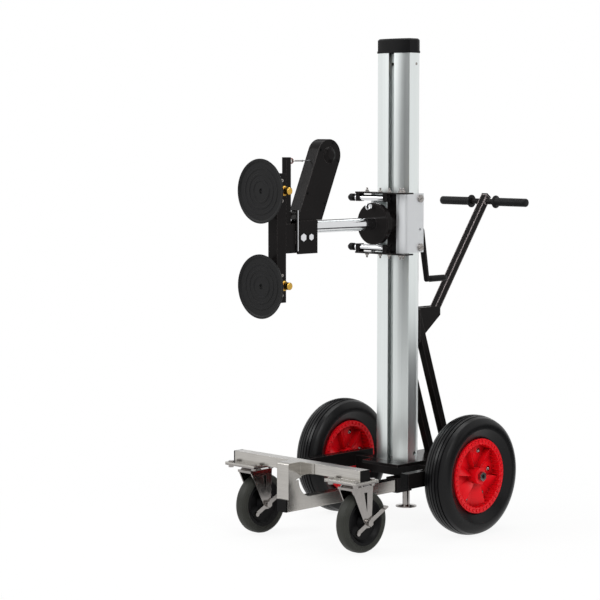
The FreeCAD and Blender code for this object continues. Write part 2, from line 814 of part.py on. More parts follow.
def caster_brake(side):
    """Foot lever on the outer end of the caster axle: a round toe and a pedal on its raised back end."""
    x = side * caster_spacing / 2
    wheel_y = swivel_y + caster_trail
    near = x + caster_fork_half + fork_leg_thickness + body_gap
    half = brake_height / 2
    bar = block(near, near + brake_thickness, -brake_front_reach, brake_back_reach, -half, half)
    boss = rod(brake_boss_radius, V(near, 0, 0), V(near + brake_thickness, 0, 0))
    toe = rod(half, V(near, -brake_front_reach, 0), V(near + 2 * brake_thickness, -brake_front_reach, 0))
    pedal = block(near, near + brake_pedal_width, brake_back_reach - half, brake_back_reach + half,
                  half - brake_thickness, half)
    lever = joined([bar, boss, toe, pedal])
    lever = lever.cut(rod(caster_axle_radius + running_gap, V(near - overrun, 0, 0),
                          V(near + brake_thickness + overrun, 0, 0)))
    lever.rotate(V(0, 0, 0), V(1, 0, 0), brake_angle)
    lever.translate(V(0, wheel_y, caster_radius))
    return lever


def make_casters():
    """Both swivel casters with their plates, bolts, forks, wheels and brake levers."""
    save("caster_plates", group([caster_top(-1), caster_top(1)]))
    save("caster_bolts", group([caster_bolt(x, y) for side in (-1, 1) for x,
                                y in caster_bolt_places(side)]))
    for name, side in (("left", -1), ("right", 1)):
        tyre, core = caster_wheel(side)
        save("caster_fork_" + name, caster_fork(side))
        save("caster_tyre_" + name, tyre)
        save("caster_core_" + name, core)
        save("caster_brake_" + name, caster_brake(side))


def mast_outline(grow):
    """The mast's section as a closed face, grown or shrunk by an even amount."""
    half = mast_width / 2 + grow
    front = -mast_front - grow
    back = mast_back + grow
    radius = mast_corner_radius + grow
    slant = radius * (1 - math.sqrt(0.5))
    edges = [
        Part.Arc(V(-half, front, 0), V(0, front - mast_bow, 0), V(half, front, 0)).toShape(),
        Part.LineSegment(V(half, front, 0), V(half, back - radius, 0)).toShape(),
        Part.Arc(V(half, back - radius, 0), V(half - slant, back - slant, 0),
                 V(half - radius, back, 0)).toShape(),
        Part.LineSegment(V(half - radius, back, 0), V(radius - half, back, 0)).toShape(),
        Part.Arc(V(radius - half, back, 0), V(slant - half, back - slant, 0),
                 V(-half, back - radius, 0)).toShape(),
        Part.LineSegment(V(-half, back - radius, 0), V(-half, front, 0)).toShape(),
    ]
    return Part.Face(Part.Wire(edges))


def mast_solid(grow, z0, z1):
    """The mast's section drawn up between two heights."""
    solid = mast_outline(grow).extrude(V(0, 0, z1 - z0))
    solid.translate(V(0, 0, z0))
    return solid


def make_mast():
    """Slotted mast with inner lips, a window for the winch drum, and its plastic cap."""
    shell = mast_solid(0, base_plate_top, mast_top).cut(
        mast_solid(-mast_wall, base_plate_top - overrun, mast_top + overrun))
    lip_front = -mast_front - mast_bow + mast_wall / 2
    half = slot_width / 2
    for side in (-1, 1):
        near, far = sorted((side * half, side * (half + slot_lip_thickness)))
        shell = shell.fuse(block(near, far, lip_front, lip_front + slot_lip_depth, base_plate_top,
                                 mast_top))
    slot = block(-half, half, -mast_front - mast_bow - overrun, lip_front + slot_lip_depth + overrun,
                 base_plate_top - overrun, mast_top + overrun)
    window = rod(drum_radius + drum_flange + body_gap, V(0, mast_back - mast_wall - overrun, winch_height),
                 V(0, mast_back + overrun, winch_height))
    pin = rod(sheave_pin_radius + seat_gap, V(-mast_width, (rope_front_y + rope_back_y) / 2, sheave_z),
              V(mast_width, (rope_front_y + rope_back_y) / 2, sheave_z))
    hole_z = base_plate_top + mast_hole_height
    hole = rod(mast_hole_radius, V(mast_inner_half - overrun, -mast_front / 2, hole_z),
               V(mast_width, -mast_front / 2, hole_z))
    save("mast", shell.cut(slot).cut(window).cut(pin).cut(hole).removeSplitter())
    body = mast_solid(cap_overhang, mast_top, mast_top + cap_height)
    rim_edges = [edge for edge in body.Edges if edge.BoundBox.ZMin > mast_top + cap_height / 2
                 and edge.BoundBox.ZLength < cap_edge]
    body = body.makeChamfer(cap_edge, rim_edges)
    lip = mast_solid(cap_overhang + cap_lip, mast_top, mast_top + cap_lip_height)
    hollow = mast_solid(-mast_wall * 2, mast_top - overrun, mast_top + cap_height - mast_wall * 2)
    save("mast_cap", joined([body, lip]).cut(hollow))


def make_lift():
    """Top sheave with its pin, the rope over it, and the winch with drum, crank and grip."""
    middle_y = (rope_front_y + rope_back_y) / 2
    save("sheave_pin", rod(sheave_pin_radius, V(-mast_width / 2, middle_y, sheave_z),
                           V(mast_width / 2, middle_y, sheave_z)))
    half = sheave_width / 2
    groove = sheave_radius - rope_radius - running_gap
    rim = sheave_radius + sheave_flange
    bore = sheave_pin_radius + running_gap
    save("top_sheave", turned([(-half, bore), (-half, rim), (-rope_radius, groove), (rope_radius, groove),
                               (half, rim), (half, bore)], V(rope_x, middle_y, sheave_z), V(1, 0, 0)))
    front_run = rod(rope_radius, V(rope_x, rope_front_y, carriage_top), V(rope_x, rope_front_y, sheave_z))
    back_run = rod(rope_radius, V(rope_x, rope_back_y, winch_height), V(rope_x, rope_back_y, sheave_z))
    bend = Part.makeTorus(sheave_radius, rope_radius, V(rope_x, middle_y, sheave_z), V(1, 0, 0))
    bend = bend.common(block(rope_x - sheave_width, rope_x + sheave_width, rope_front_y - overrun,
                             rope_back_y + overrun,
                             sheave_z, sheave_z + sheave_radius + overrun))
    save("lift_rope", joined([front_run, bend, back_run]))
    make_winch()


def make_winch():
    """Winch housing on the back of the mast, drum inside it, and the crank with its turning grip."""
    shaft_way = V(0, 1, 0)
    low = winch_height - winch_below
    high = winch_height + winch_above
    case = block(-winch_half_width, winch_half_width, mast_back, winch_back, low, high)
    room = block(-winch_half_width + winch_wall, winch_half_width - winch_wall, mast_back - overrun,
                 winch_back - winch_wall, low + winch_wall, high - winch_wall)
    hole = rod(crank_shaft_radius + running_gap, V(0, mast_back, winch_height),
               V(0, winch_back + overrun, winch_height))
    save("winch_housing", case.cut(room).cut(hole))
    back = mast_back - drum_wall_gap
    rim = drum_radius + drum_flange
    drum = turned([(drum_front_y, 0), (drum_front_y, rim), (drum_front_y + drum_flange_thickness, rim),
                   (drum_front_y + drum_flange_thickness, drum_radius - body_gap),
                   (back - drum_flange_thickness, drum_radius - body_gap),
                   (back - drum_flange_thickness, rim),
                   (back, rim), (back, crank_shaft_radius),
                   (crank_y - crank_arm_thickness, crank_shaft_radius),
                   (crank_y - crank_arm_thickness, 0)], V(0, 0, winch_height), shaft_way)
    save("winch_drum", drum)
    top = V(0, crank_y - crank_arm_thickness, winch_height)
    way = V(math.sin(math.radians(crank_angle)), 0, -math.cos(math.radians(crank_angle)))
    tail = top + way * crank_length
    face = V(0, crank_arm_thickness, 0)
    half = crank_arm_width / 2
    across = V(-way.z, 0, way.x) * half
    bar = Part.Face(Part.makePolygon([top + across, tail + across * crank_taper_share,
                                      tail - across * crank_taper_share, top - across, top + across]))
    arm = joined([bar.extrude(face), rod(half, top, top + face),
                  rod(half * crank_taper_share, tail, tail + face),
                  rod(crank_pin_radius, tail, tail + face + V(0, crank_grip_length + crank_grip_gap, 0))])
    save("crank_arm", arm)
    start = crank_y + crank_grip_gap
    bore = crank_pin_radius + running_gap
    end = start + crank_grip_length
    grip = turned([(start, bore), (start, crank_grip_radius - crank_grip_edge),
                   (start + crank_grip_radius, crank_grip_radius),
                   (end - crank_grip_radius, crank_grip_radius),
                   (end + crank_grip_gap, crank_grip_radius - crank_grip_edge),
                   (end + crank_grip_gap, 0), (end + crank_grip_gap / 2, 0),
                   (end + crank_grip_gap / 2, bore)],
                  V(tail.x, 0, tail.z), shaft_way)
    save("crank_grip", grip)


def make_handle():
    """Raked stem with a cross bar and two grips, its bracket on the mast, and two braces to the base."""
    half = handle_tube_size / 2
    stem = stem_slab(half, 0, stem_top).cut(stem_slab(half - handle_tube_wall, -overrun,
                                                      stem_top + overrun))
    bar_half = bar_length / 2
    bar = rod(bar_radius, V(-bar_half, handle_reach, handle_height),
              V(bar_half, handle_reach, handle_height))
    save("handle_stem", joined([stem, bar]))
    inner = bar_half - grip_length
    bore = bar_radius + seat_gap
    end = bar_half + bar_radius / 2
    grip = turned([(inner, bore), (inner, grip_flange_radius),
                   (inner + grip_flange_thickness, grip_flange_radius),
                   (inner + grip_flange_thickness, grip_radius), (end - bar_radius / 2, grip_radius),
                   (end, grip_radius - grip_edge), (end, 0), (bar_half, 0), (bar_half, bore)],
                  V(0, handle_reach, handle_height), V(1, 0, 0))
    save("handle_grips", group([grip, mirrored(grip)]))
    make_handle_bracket(half)
    make_braces()


def make_handle_bracket(half):
    """Back plate on the mast and two cheeks that hold the stem's tail."""
    plate_back = mast_back + bracket_plate_thickness
    plate = block(-bracket_half_width, bracket_half_width, mast_back, plate_back, bracket_bottom,
                  bracket_top)
    knee = handle_tail_reach + (bracket_top - handle_tail_height) * stem_reach / stem_rise
    outline = [(plate_back, bracket_bottom), (plate_back, bracket_top), (knee, bracket_top),
               (bracket_cheek_reach, bracket_top - half),
               (bracket_cheek_reach, handle_tail_height - half / 2), (bracket_toe_reach, bracket_bottom)]
    cheeks = [slab(outline, "x", *sorted((s * half, s * (half + bracket_cheek_thickness))))
              for s in (-1, 1)]
    save("handle_bracket", joined([plate] + cheeks))


def make_braces():
    """Two square bars from the base plate's tail up to the bracket plate."""
    half = handle_tube_size / 2
    top_y = mast_back + bracket_plate_thickness
    rise = brace_head_height - base_plate_top
    lean = (brace_foot_reach - top_y) / rise
    shells = []
    for side in (half, half - handle_tube_wall):
        width = side * math.sqrt(1 + lean * lean)
        drop = width / lean
        outline = [(brace_foot_reach - width, base_plate_top), (brace_foot_reach + width, base_plate_top),
                   (top_y, brace_head_height + drop), (top_y, brace_head_height - drop)]
        shells.append(slab(outline, "x", brace_spacing / 2 - side, brace_spacing / 2 + side))
    brace = shells[0].cut(shells[1])
    save("handle_braces", group([brace, mirrored(brace)]))


def make_carriage():
    """Side plates, front plate, follower in the mast, rod plates, lock rods and the arm's housing."""
    inner = carriage_side_inner
    outer = inner + carriage_side_thickness
    lip = outer - carriage_corner_radius
    bend = -carriage_front_reach + carriage_corner_radius
    wall = block(inner, outer, bend, 0, carriage_bottom, carriage_top)
    corner = pipe(carriage_corner_radius, carriage_corner_radius - carriage_side_thickness,
                  V(lip, bend, carriage_bottom), V(lip, bend, carriage_top))
    corner = corner.common(block(lip, outer, -carriage_front_reach, bend, carriage_bottom, carriage_top))
    cheek = joined([wall, corner])
    screw_y = -guide_screw_setback
    screw_places = [(screw_y, carriage_top - guide_screw_inset),
                    (screw_y, carriage_bottom + guide_screw_inset)]
    hole_z = (carriage_top + carriage_bottom) / 2 - guide_screw_inset - side_hole_radius
    cheek = cheek.cut(rod(side_hole_radius, V(inner - overrun, screw_y, hole_z),
                          V(outer + overrun, screw_y, hole_z)))
    save("carriage_sides", group([cheek, mirrored(cheek)]))
    screws = [guide_screw(outer, y, z) for y, z in screw_places]
    save("guide_screws", group(screws + [mirrored(s) for s in screws]))
    outline = [(-lip, arm_height - front_band_half_height),
               (front_post_left, arm_height - front_band_half_height),
               (front_post_left, carriage_bottom), (lip, carriage_bottom), (lip, carriage_top),
               (front_post_left, carriage_top), (front_post_left, arm_height + front_band_half_height),
               (-lip, arm_height + front_band_half_height)]
    save("carriage_front", slab(outline, "y", -carriage_front_reach, front_plate_back))
    save("mast_follower", follower())
    save("rod_plates", group([rod_plate(1), rod_plate(-1)]))
    make_lock_rods()
    housing = rod(hub_housing_radius, V(0, -hub_face_reach, arm_height),
                  V(0, -carriage_front_reach, arm_height))
    bore = rod(arm_radius + bush_wall + seat_gap, V(0, -hub_face_reach - overrun, arm_height),
               V(0, -arm_back_reach + body_gap, arm_height))
    bushes = []
    for start in (-hub_face_reach, -arm_back_reach - bush_length):
        bushes.append(pipe(arm_radius + bush_wall, arm_radius + running_gap, V(0, start, arm_height),
                           V(0, start + bush_length, arm_height)))
    save("hub_housing", group([housing.cut(bore)] + bushes))


def guide_screw(face, y, z):
    """A slotted screw head on a side plate."""
    head = rod(guide_screw_radius, V(face, y, z), V(face + guide_screw_head, y, z))
    slot = block(face + guide_screw_head / 2, face + guide_screw_head + overrun,
                 y - guide_screw_radius - overrun,
                 y + guide_screw_radius + overrun, z - guide_screw_slot / 2, z + guide_screw_slot / 2)
    slot.rotate(V(face, y, z), V(1, 0, 0), guide_screw_turn)
    return head.cut(slot)


def follower():
    """Block that runs inside the mast, with glides at its corners and a tongue out through the slot."""
    back = -follower_back
    front = back - follower_thickness
    core = block(-follower_half_width, follower_half_width, front, back, carriage_bottom, carriage_top)
    tongue = block(-follower_tongue_half_width, follower_tongue_half_width, front_plate_back, front,
                   arm_height - front_band_half_height, arm_height + front_band_half_height)
    pieces = [core, tongue]
    reach = mast_inner_half - glide_gap
    for low in (carriage_bottom, carriage_top - glide_height):
        pieces.append(block(-reach, reach, front, back, low, low + glide_height))
    return joined(pieces)


def rod_plate(way):
    """Flat plate above or below the carriage, with two lugs that hold a lock rod."""
    seat = carriage_top if way > 0 else carriage_bottom
    z0, z1 = sorted((seat, seat + way * rod_plate_thickness))
    plate = block(-rod_plate_half_width, rod_plate_half_width, -rod_plate_front, -rod_plate_back, z0, z1)
    corners = [e for e in plate.Edges if e.BoundBox.ZLength > rod_plate_thickness / 2
               and e.BoundBox.YMax < -rod_plate_back - overrun]
    plate = plate.makeFillet(rod_plate_corner, corners)
    pieces = [plate]
    lug_z0, lug_z1 = sorted((seat, seat - way * lock_lug_height))
    y0 = -carriage_front_reach - lock_lug_depth
    for x in (-rod_plate_half_width + rod_plate_corner / 2, front_post_left):
        pieces.append(block(x, x + lock_lug_width, y0, -carriage_front_reach, lug_z0, lug_z1))
    axis_z = seat - way * lock_rod_drop
    bore = rod(lock_rod_radius + seat_gap, V(-rod_plate_half_width - overrun, -lock_rod_reach, axis_z),
               V(rod_plate_half_width, -lock_rod_reach, axis_z))
    return joined(pieces).cut(bore)


def make_lock_rods():
    """Bright rods between the lugs, with round knobs on their outer ends."""
    rods = []
    knobs = []
    right = front_post_left + lock_lug_width
    for seat, way in ((carriage_top, 1), (carriage_bottom, -1)):
        z = seat - way * lock_rod_drop
        rods.append(rod(lock_rod_radius, V(-lock_rod_left, -lock_rod_reach, z),
                        V(right, -lock_rod_reach, z)))
        neck = knob_neck_length
        full = neck + knob_length
        knobs.append(turned([(0, 0), (0, knob_neck_radius), (neck, knob_neck_radius),
                             (neck + neck / 2, knob_radius),
                             (full - neck, knob_radius), (full, knob_neck_radius), (full, 0)],
                            V(-lock_rod_left, -lock_rod_reach, z), V(-1, 0, 0)))
    save("lock_rods", group(rods))
    save("lock_knobs", group(knobs))


def make_arm():
    """Bright turning arm, its index disc and plunger, the fork head and the spring balancer."""
    save("arm_tube", pipe(arm_radius, arm_radius - arm_wall, V(0, -arm_front_reach, arm_height),
                          V(0, -arm_back_reach, arm_height)))
    back = -hub_face_reach - body_gap
    front = back - disc_thickness
    bore = arm_radius + seat_gap
    disc = turned([(front, bore), (front, disc_radius - disc_edge), (front + disc_edge, disc_radius),
                   (back - disc_edge, disc_radius), (back, disc_radius - disc_edge), (back, bore)],
                  V(0, 0, arm_height), V(0, 1, 0))
    plunger_z = arm_height + plunger_offset
    disc = disc.cut(rod(plunger_radius + running_gap, V(0, front - overrun, plunger_z),
                        V(0, back + overrun, plunger_z)))
    save("index_disc", disc)
    tip = back - plunger_travel_gap
    collar = front - plunger_collar_length
    pin = rod(plunger_radius, V(0, collar, plunger_z), V(0, tip, plunger_z))
    boss = rod(plunger_collar_radius, V(0, collar, plunger_z), V(0, front - body_gap, plunger_z))
    ring = Part.makeTorus(pull_ring_radius, pull_ring_wire, V(0, collar - pull_ring_radius, plunger_z),
                          V(1, 0, 0))
    save("index_plunger", joined([pin, boss, ring]))
    make_head()
    make_balancer()


def make_head():
    """Fork head on the arm's end, its bright front strips, rungs and bolts, and the tilt pin."""
    body = block(-head_half_width, head_half_width, -head_nose, -head_back, head_bottom, head_top)
    slot = block(-fork_half_gap, fork_half_gap, -head_nose - overrun, -head_slot_back,
                 head_bottom - overrun, head_top + overrun)
    body = body.cut(slot)
    body = body.cut(rod(arm_radius + seat_gap, V(0, -arm_front_reach, arm_height),
                        V(0, -head_back + overrun, arm_height)))
    pin_bore = rod(tilt_pin_radius + seat_gap, V(-head_half_width - overrun, -pivot_reach, pivot_height),
                   V(head_half_width + overrun, -pivot_reach, pivot_height))
    save("head_block", body.cut(pin_bore))
    end = head_half_width + tilt_pin_head_length
    pin = rod(tilt_pin_radius, V(-end, -pivot_reach, pivot_height), V(end, -pivot_reach, pivot_height))
    heads = [hexagon(tilt_pin_head, V(s * head_half_width, -pivot_reach, pivot_height), V(s, 0, 0),
                     tilt_pin_head_length)
             for s in (-1, 1)]
    pieces = [joined([pin] + heads)]
    bolt_y = -pivot_reach + cheek_bolt_setback
    for s in (-1, 1):
        pieces.append(hexagon(cheek_bolt_radius, V(s * head_half_width, bolt_y, pivot_height), V(s, 0, 0),
                              tilt_pin_head_length))
    nose = -head_nose
    strips = [block(*sorted((s * fork_half_gap, s * head_half_width)), nose - strip_thickness, nose,
                    strip_bottom, strip_top)
              for s in (-1, 1)]
    rungs = [block(-fork_half_gap, fork_half_gap, nose - strip_thickness, nose, z - rung_size, z)
             for z in (strip_top, head_top + rung_size)]
    pieces.append(joined(strips + rungs))
    save("tilt_pin", group(pieces))


def balancer_outline(inset):
    """Leaning long shape with a round top, cut level at the bottom, as one face at X = 0."""
    lean = math.radians(balancer_lean)
    along = V(0, math.sin(lean), math.cos(lean))
    across = V(0, -math.cos(lean), math.sin(lean))
    radius = balancer_radius - inset
    top = V(0, -balancer_top_reach, balancer_top_height)
    floor = head_top + inset
    left = top + across * radius
    right = top - across * radius
    left_foot = left - along * ((left.z - floor) / along.z)
    right_foot = right - along * ((right.z - floor) / along.z)
    edges = [Part.Arc(left, top + along * radius, right).toShape(),
             Part.LineSegment(right, right_foot).toShape(),
             Part.LineSegment(right_foot, left_foot).toShape(), Part.LineSegment(left_foot, left).toShape()]
    return Part.Face(Part.Wire(edges))


def make_balancer():
    """Spring balancer: a case open on one side, its cover with a round boss, and the wire."""
    width = balancer_half_width * 2
    case = balancer_outline(0).extrude(V(width - balancer_wall, 0, 0))
    case.translate(V(-balancer_half_width, 0, 0))
    room = balancer_outline(balancer_wall).extrude(V(width, 0, 0))
    room.translate(V(-balancer_half_width + balancer_wall, 0, 0))
    wire_hole = rod(wire_radius + seat_gap, V(0, lever_y, eye_height),
                    V(0, -balancer_top_reach, eye_height))
    save("balancer_case", case.cut(room).cut(wire_hole))
    cover = balancer_outline(0).extrude(V(balancer_wall, 0, 0))
    cover.translate(V(balancer_half_width - balancer_wall, 0, 0))
    dome = turned([(0, 0), (0, balancer_dome_radius),
                   (balancer_dome_height / 2, balancer_dome_radius - balancer_dome_edge),
                   (balancer_dome_height, balancer_dome_radius / 2), (balancer_dome_height, 0)],
                  V(balancer_half_width, -balancer_top_reach, balancer_top_height), V(1, 0, 0))
    save("balancer_cover", joined([cover, dome]))
    save("balance_wire", rod(wire_radius, V(0, hook_end_y + seat_gap, eye_height),
                             V(0, -balancer_top_reach, eye_height)))


def make_cup_frame():
    """Tilting frame: pivot lug, block, hook lever and the two bars that carry the cups."""
    pivot = V(0, -pivot_reach, pivot_height)
    half = cup_bar_size / 2
    slim = lever_size / 2
    front = cup_bar_y - half
    lug_x = V(tilt_lug_half_width, 0, 0)
    lug = rod(tilt_lug_radius, pivot - lug_x, pivot + lug_x)
    core = block(-tilt_block_half_width, tilt_block_half_width, front, -pivot_reach - tilt_lug_radius / 2,
                 pivot_height - tilt_block_half_height, pivot_height + tilt_block_half_height)
    neck = block(-tilt_lug_half_width, tilt_lug_half_width, -pivot_reach - tilt_lug_radius, -pivot_reach,
                 pivot_height - tilt_lug_radius, pivot_height + tilt_lug_radius)
    lever = block(-slim, slim, lever_y - slim, lever_y + slim, pivot_height, lever_top)
    pieces = [lug, core, neck, lever]
    for way in (-1, 1):
        middle = pivot_height + way * cup_spacing / 2
        pieces.append(block(-half, half, cup_bar_y - half, cup_bar_y + half,
                            *sorted((pivot_height, middle + way * cup_bar_length / 2))))
    frame = joined(pieces)
    bore = rod(tilt_pin_radius + running_gap, pivot - lug_x - lug_x, pivot + lug_x + lug_x)
    frame = frame.cut(bore)
    for way in (-1, 1):
        z = pivot_height + way * cup_spacing / 2
        frame = frame.cut(rod(valve_stem_radius + running_gap, V(-overrun, cup_bar_y, z),
                              V(half + overrun, cup_bar_y, z)))
    save("cup_frame", frame)


def cup_pad(z):
    """Rubber suction cup: a flared dish with seal ring and shallow rings on its face."""
    flare = cup_face_y + cup_lip_thickness
    floor = cup_face_y + cup_dish_depth
    profile = [(cup_pad_y, 0), (cup_pad_y, cup_back_radius), (flare, cup_radius),
               (cup_face_y, cup_radius), (cup_face_y, cup_radius - cup_seal_width),
               (floor, cup_radius - 2 * cup_seal_width)]
    for share in reversed(cup_ring_radius_shares):
        ring = cup_radius * share
        profile += [(floor, ring + cup_ring_width), (floor - cup_ring_depth, ring + cup_ring_width / 2),
                    (floor, ring)]
    profile.append((floor, 0))
    return turned(profile, V(0, 0, z), V(0, 1, 0))


def make_cups():
    """Two suction cups, each on a plate with two conical mounts, and their brass valves."""
    mounts = []
    pads = []
    for name, way in (("upper", 1), ("lower", -1)):
        z = pivot_height + way * cup_spacing / 2
        plate = turned([(cup_pad_y, 0), (cup_pad_y, cup_back_radius),
                        (cup_plate_y, cup_back_radius - cup_plate_thickness),
                        (cup_plate_y, 0)], V(0, 0, z), V(0, 1, 0))
        cones = [turned([(cup_plate_y, 0), (cup_plate_y, mount_base_radius),
                         (cup_mount_y, mount_top_radius), (cup_mount_y, 0)],
                        V(0, 0, z + s * mount_spacing / 2), V(0, 1, 0)) for s in (-1, 1)]
        mounts.append(joined([plate] + cones))
        pads.append(cup_pad(z))
        face = cup_bar_size / 2
        ring = face + valve_stroke_gap
        cap = ring + valve_ring_length
        tip = cap + valve_length
        valve = turned([(0, 0), (0, valve_stem_radius), (ring, valve_stem_radius), (ring, valve_ring_radius),
                        (cap - valve_edge, valve_ring_radius), (cap, valve_ring_radius - valve_edge),
                        (cap, valve_radius), (tip - valve_edge, valve_radius),
                        (tip, valve_radius - valve_edge), (tip, 0)],
                       V(0, cup_bar_y, z), V(1, 0, 0))
        save("valve_" + name, valve)
    save("cup_mounts", group(mounts))
    save("cup_pads", group(pads))


def make_hook():
    """Eye on the lever's tip and the snap hook, linked through it, that the balancer wire pulls on."""
    foot = rod(eye_foot_radius, V(0, lever_face_y, eye_height), V(0, eye_y - eye_radius, eye_height))
    eye = Part.makeTorus(eye_radius, eye_wire, V(0, eye_y, eye_height), V(1, 0, 0))
    save("lever_eye", joined([eye, foot]))
    sides = [rod(hook_wire, V(s * hook_half_width, hook_front_y, eye_height),
                 V(s * hook_half_width, hook_back_y, eye_height))
             for s in (-1, 1)]
    bows = []
    for y, way in ((hook_front_y, -1), (hook_back_y, 1)):
        ring = Part.makeTorus(hook_half_width, hook_wire, V(0, y, eye_height), V(0, 0, 1))
        near, far = sorted((y, y + way * (hook_half_width + overrun)))
        bows.append(ring.common(block(-2 * hook_half_width, 2 * hook_half_width, near, far,
                                      eye_height - overrun, eye_height + overrun)))
    save("snap_hook", joined(sides + bows))


os.makedirs("parts", exist_ok=True)
make_wheels()
make_chassis()
make_parking_foot()
make_outrigger()
make_casters()
make_mast()
make_lift()
make_handle()
make_carriage()
make_arm()
make_cup_frame()
make_cups()
make_hook()
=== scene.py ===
"""Glass panel lifter: finishes, fasteners, welds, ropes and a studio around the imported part."""
import json
import math
import bmesh
import bpy
from bpy.props import FloatProperty, FloatVectorProperty, IntProperty, PointerProperty
from mathutils import Matrix, Vector


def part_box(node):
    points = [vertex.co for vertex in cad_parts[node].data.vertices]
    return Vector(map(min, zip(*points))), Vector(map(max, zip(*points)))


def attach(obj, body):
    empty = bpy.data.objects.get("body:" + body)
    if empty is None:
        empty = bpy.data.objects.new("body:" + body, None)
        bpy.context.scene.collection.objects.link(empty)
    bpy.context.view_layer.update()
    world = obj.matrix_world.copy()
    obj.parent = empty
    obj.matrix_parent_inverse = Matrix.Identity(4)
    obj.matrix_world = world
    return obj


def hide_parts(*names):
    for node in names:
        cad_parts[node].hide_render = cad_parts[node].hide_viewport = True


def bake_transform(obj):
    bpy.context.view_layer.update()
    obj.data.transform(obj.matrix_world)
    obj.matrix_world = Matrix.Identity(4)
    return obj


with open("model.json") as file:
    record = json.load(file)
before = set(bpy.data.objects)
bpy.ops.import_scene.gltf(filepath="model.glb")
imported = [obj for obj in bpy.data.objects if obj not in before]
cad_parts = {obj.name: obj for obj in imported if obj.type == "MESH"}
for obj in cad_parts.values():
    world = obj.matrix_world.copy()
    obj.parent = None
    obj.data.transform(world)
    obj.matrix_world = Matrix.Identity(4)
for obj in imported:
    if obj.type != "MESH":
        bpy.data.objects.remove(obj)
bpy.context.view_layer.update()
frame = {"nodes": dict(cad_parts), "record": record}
SLOT_OF = {part["node"]: part["material_slot"] for part in frame["record"]["subparts"]}
# One millimetre in metres.
MM = 0.001
ACROSS = Vector((1, 0, 0))
FRONT = Vector((0, -1, 0))
UP = Vector((0, 0, 1))

bl_info = {
    "name": "Glass Panel Lifter",
    "version": (1, 0, 0),
    "blender": (4, 5, 0),
    "location": "View3D > Sidebar > Lifter",
    "description": "Finishes and small parts of a wheeled glass panel lifter",
    "category": "Object",
}


def linear(code):
    """An sRGB hex value as a linear colour with full alpha."""
    shares = [int(code[i:i + 2], 16) / 255 for i in (0, 2, 4)]
    return tuple(s / 12.92 if s <= 0.04045 else ((s + 0.055) / 1.055) ** 2.4 for s in shares) + (1.0,)


def colour(code, name, description):
    """A colour property that starts from an sRGB hex value."""
    return FloatVectorProperty(name=name, description=description, subtype="COLOR", size=4, min=0, max=1,
                               default=linear(code))


def length(mm, name, description):
    """A length property that starts from a size in millimetres."""
    return FloatProperty(name=name, description=description, unit="LENGTH", default=mm * MM, min=0)


def angle(degrees, name, description):
    """An angle property that starts from degrees."""
    return FloatProperty(name=name, description=description, subtype="ANGLE", default=math.radians(degrees))


def count(number, least, most, name, description):
    """A whole number property with its least and greatest value."""
    return IntProperty(name=name, description=description, default=number, min=least, max=most)


class LifterColours(bpy.types.PropertyGroup):
    """Colours of the finishes."""
    powder_black: colour("151313", "Powder coat", "Black powder coat on the chassis, handle and head")
    anodised: colour("e0e5e4", "Anodised mast", "Satin anodised aluminium of the mast")
    stainless: colour("b6b3ae", "Stainless", "Ground stainless steel of the outrigger")
    zinc: colour("9a9693", "Zinc plate", "Bright zinc plate of casters and fasteners")
    chrome: colour("d6d7d9", "Chrome", "Hard chrome of the arm and rods")
    silver: colour("cfd1d3", "Silver paint", "Silver paint on the carriage sides")
    rim_red: colour("ea0f1d", "Rim red", "Moulded red plastic of the road wheel rims")
    plastic_black: colour("0a0a0b", "Black plastic", "Moulded black plastic of caps and plugs")
    tyre: colour("111112", "Tyre", "Rubber of the road tyres")
    caster_rubber: colour("30312d", "Caster rubber", "Grey-green rubber of the caster tyres")
    cup: colour("111112", "Cup rubber", "Rubber of the suction cups")
    grip: colour("0e0e0f", "Grip", "Rubber of the hand grips")
    brass: colour("c8a04a", "Brass", "Turned brass of the valves")
    eye: colour("8a625c", "Eye plate", "Dull copper eye on the lever")
    wire: colour("b7b9bc", "Wire", "Galvanised steel wire of rope and balancer")
    nylon: colour("e9e7e0", "Nylon", "Natural nylon of sliders and sheave")
    floor: colour("f6f6f5", "Floor", "Pale studio floor")


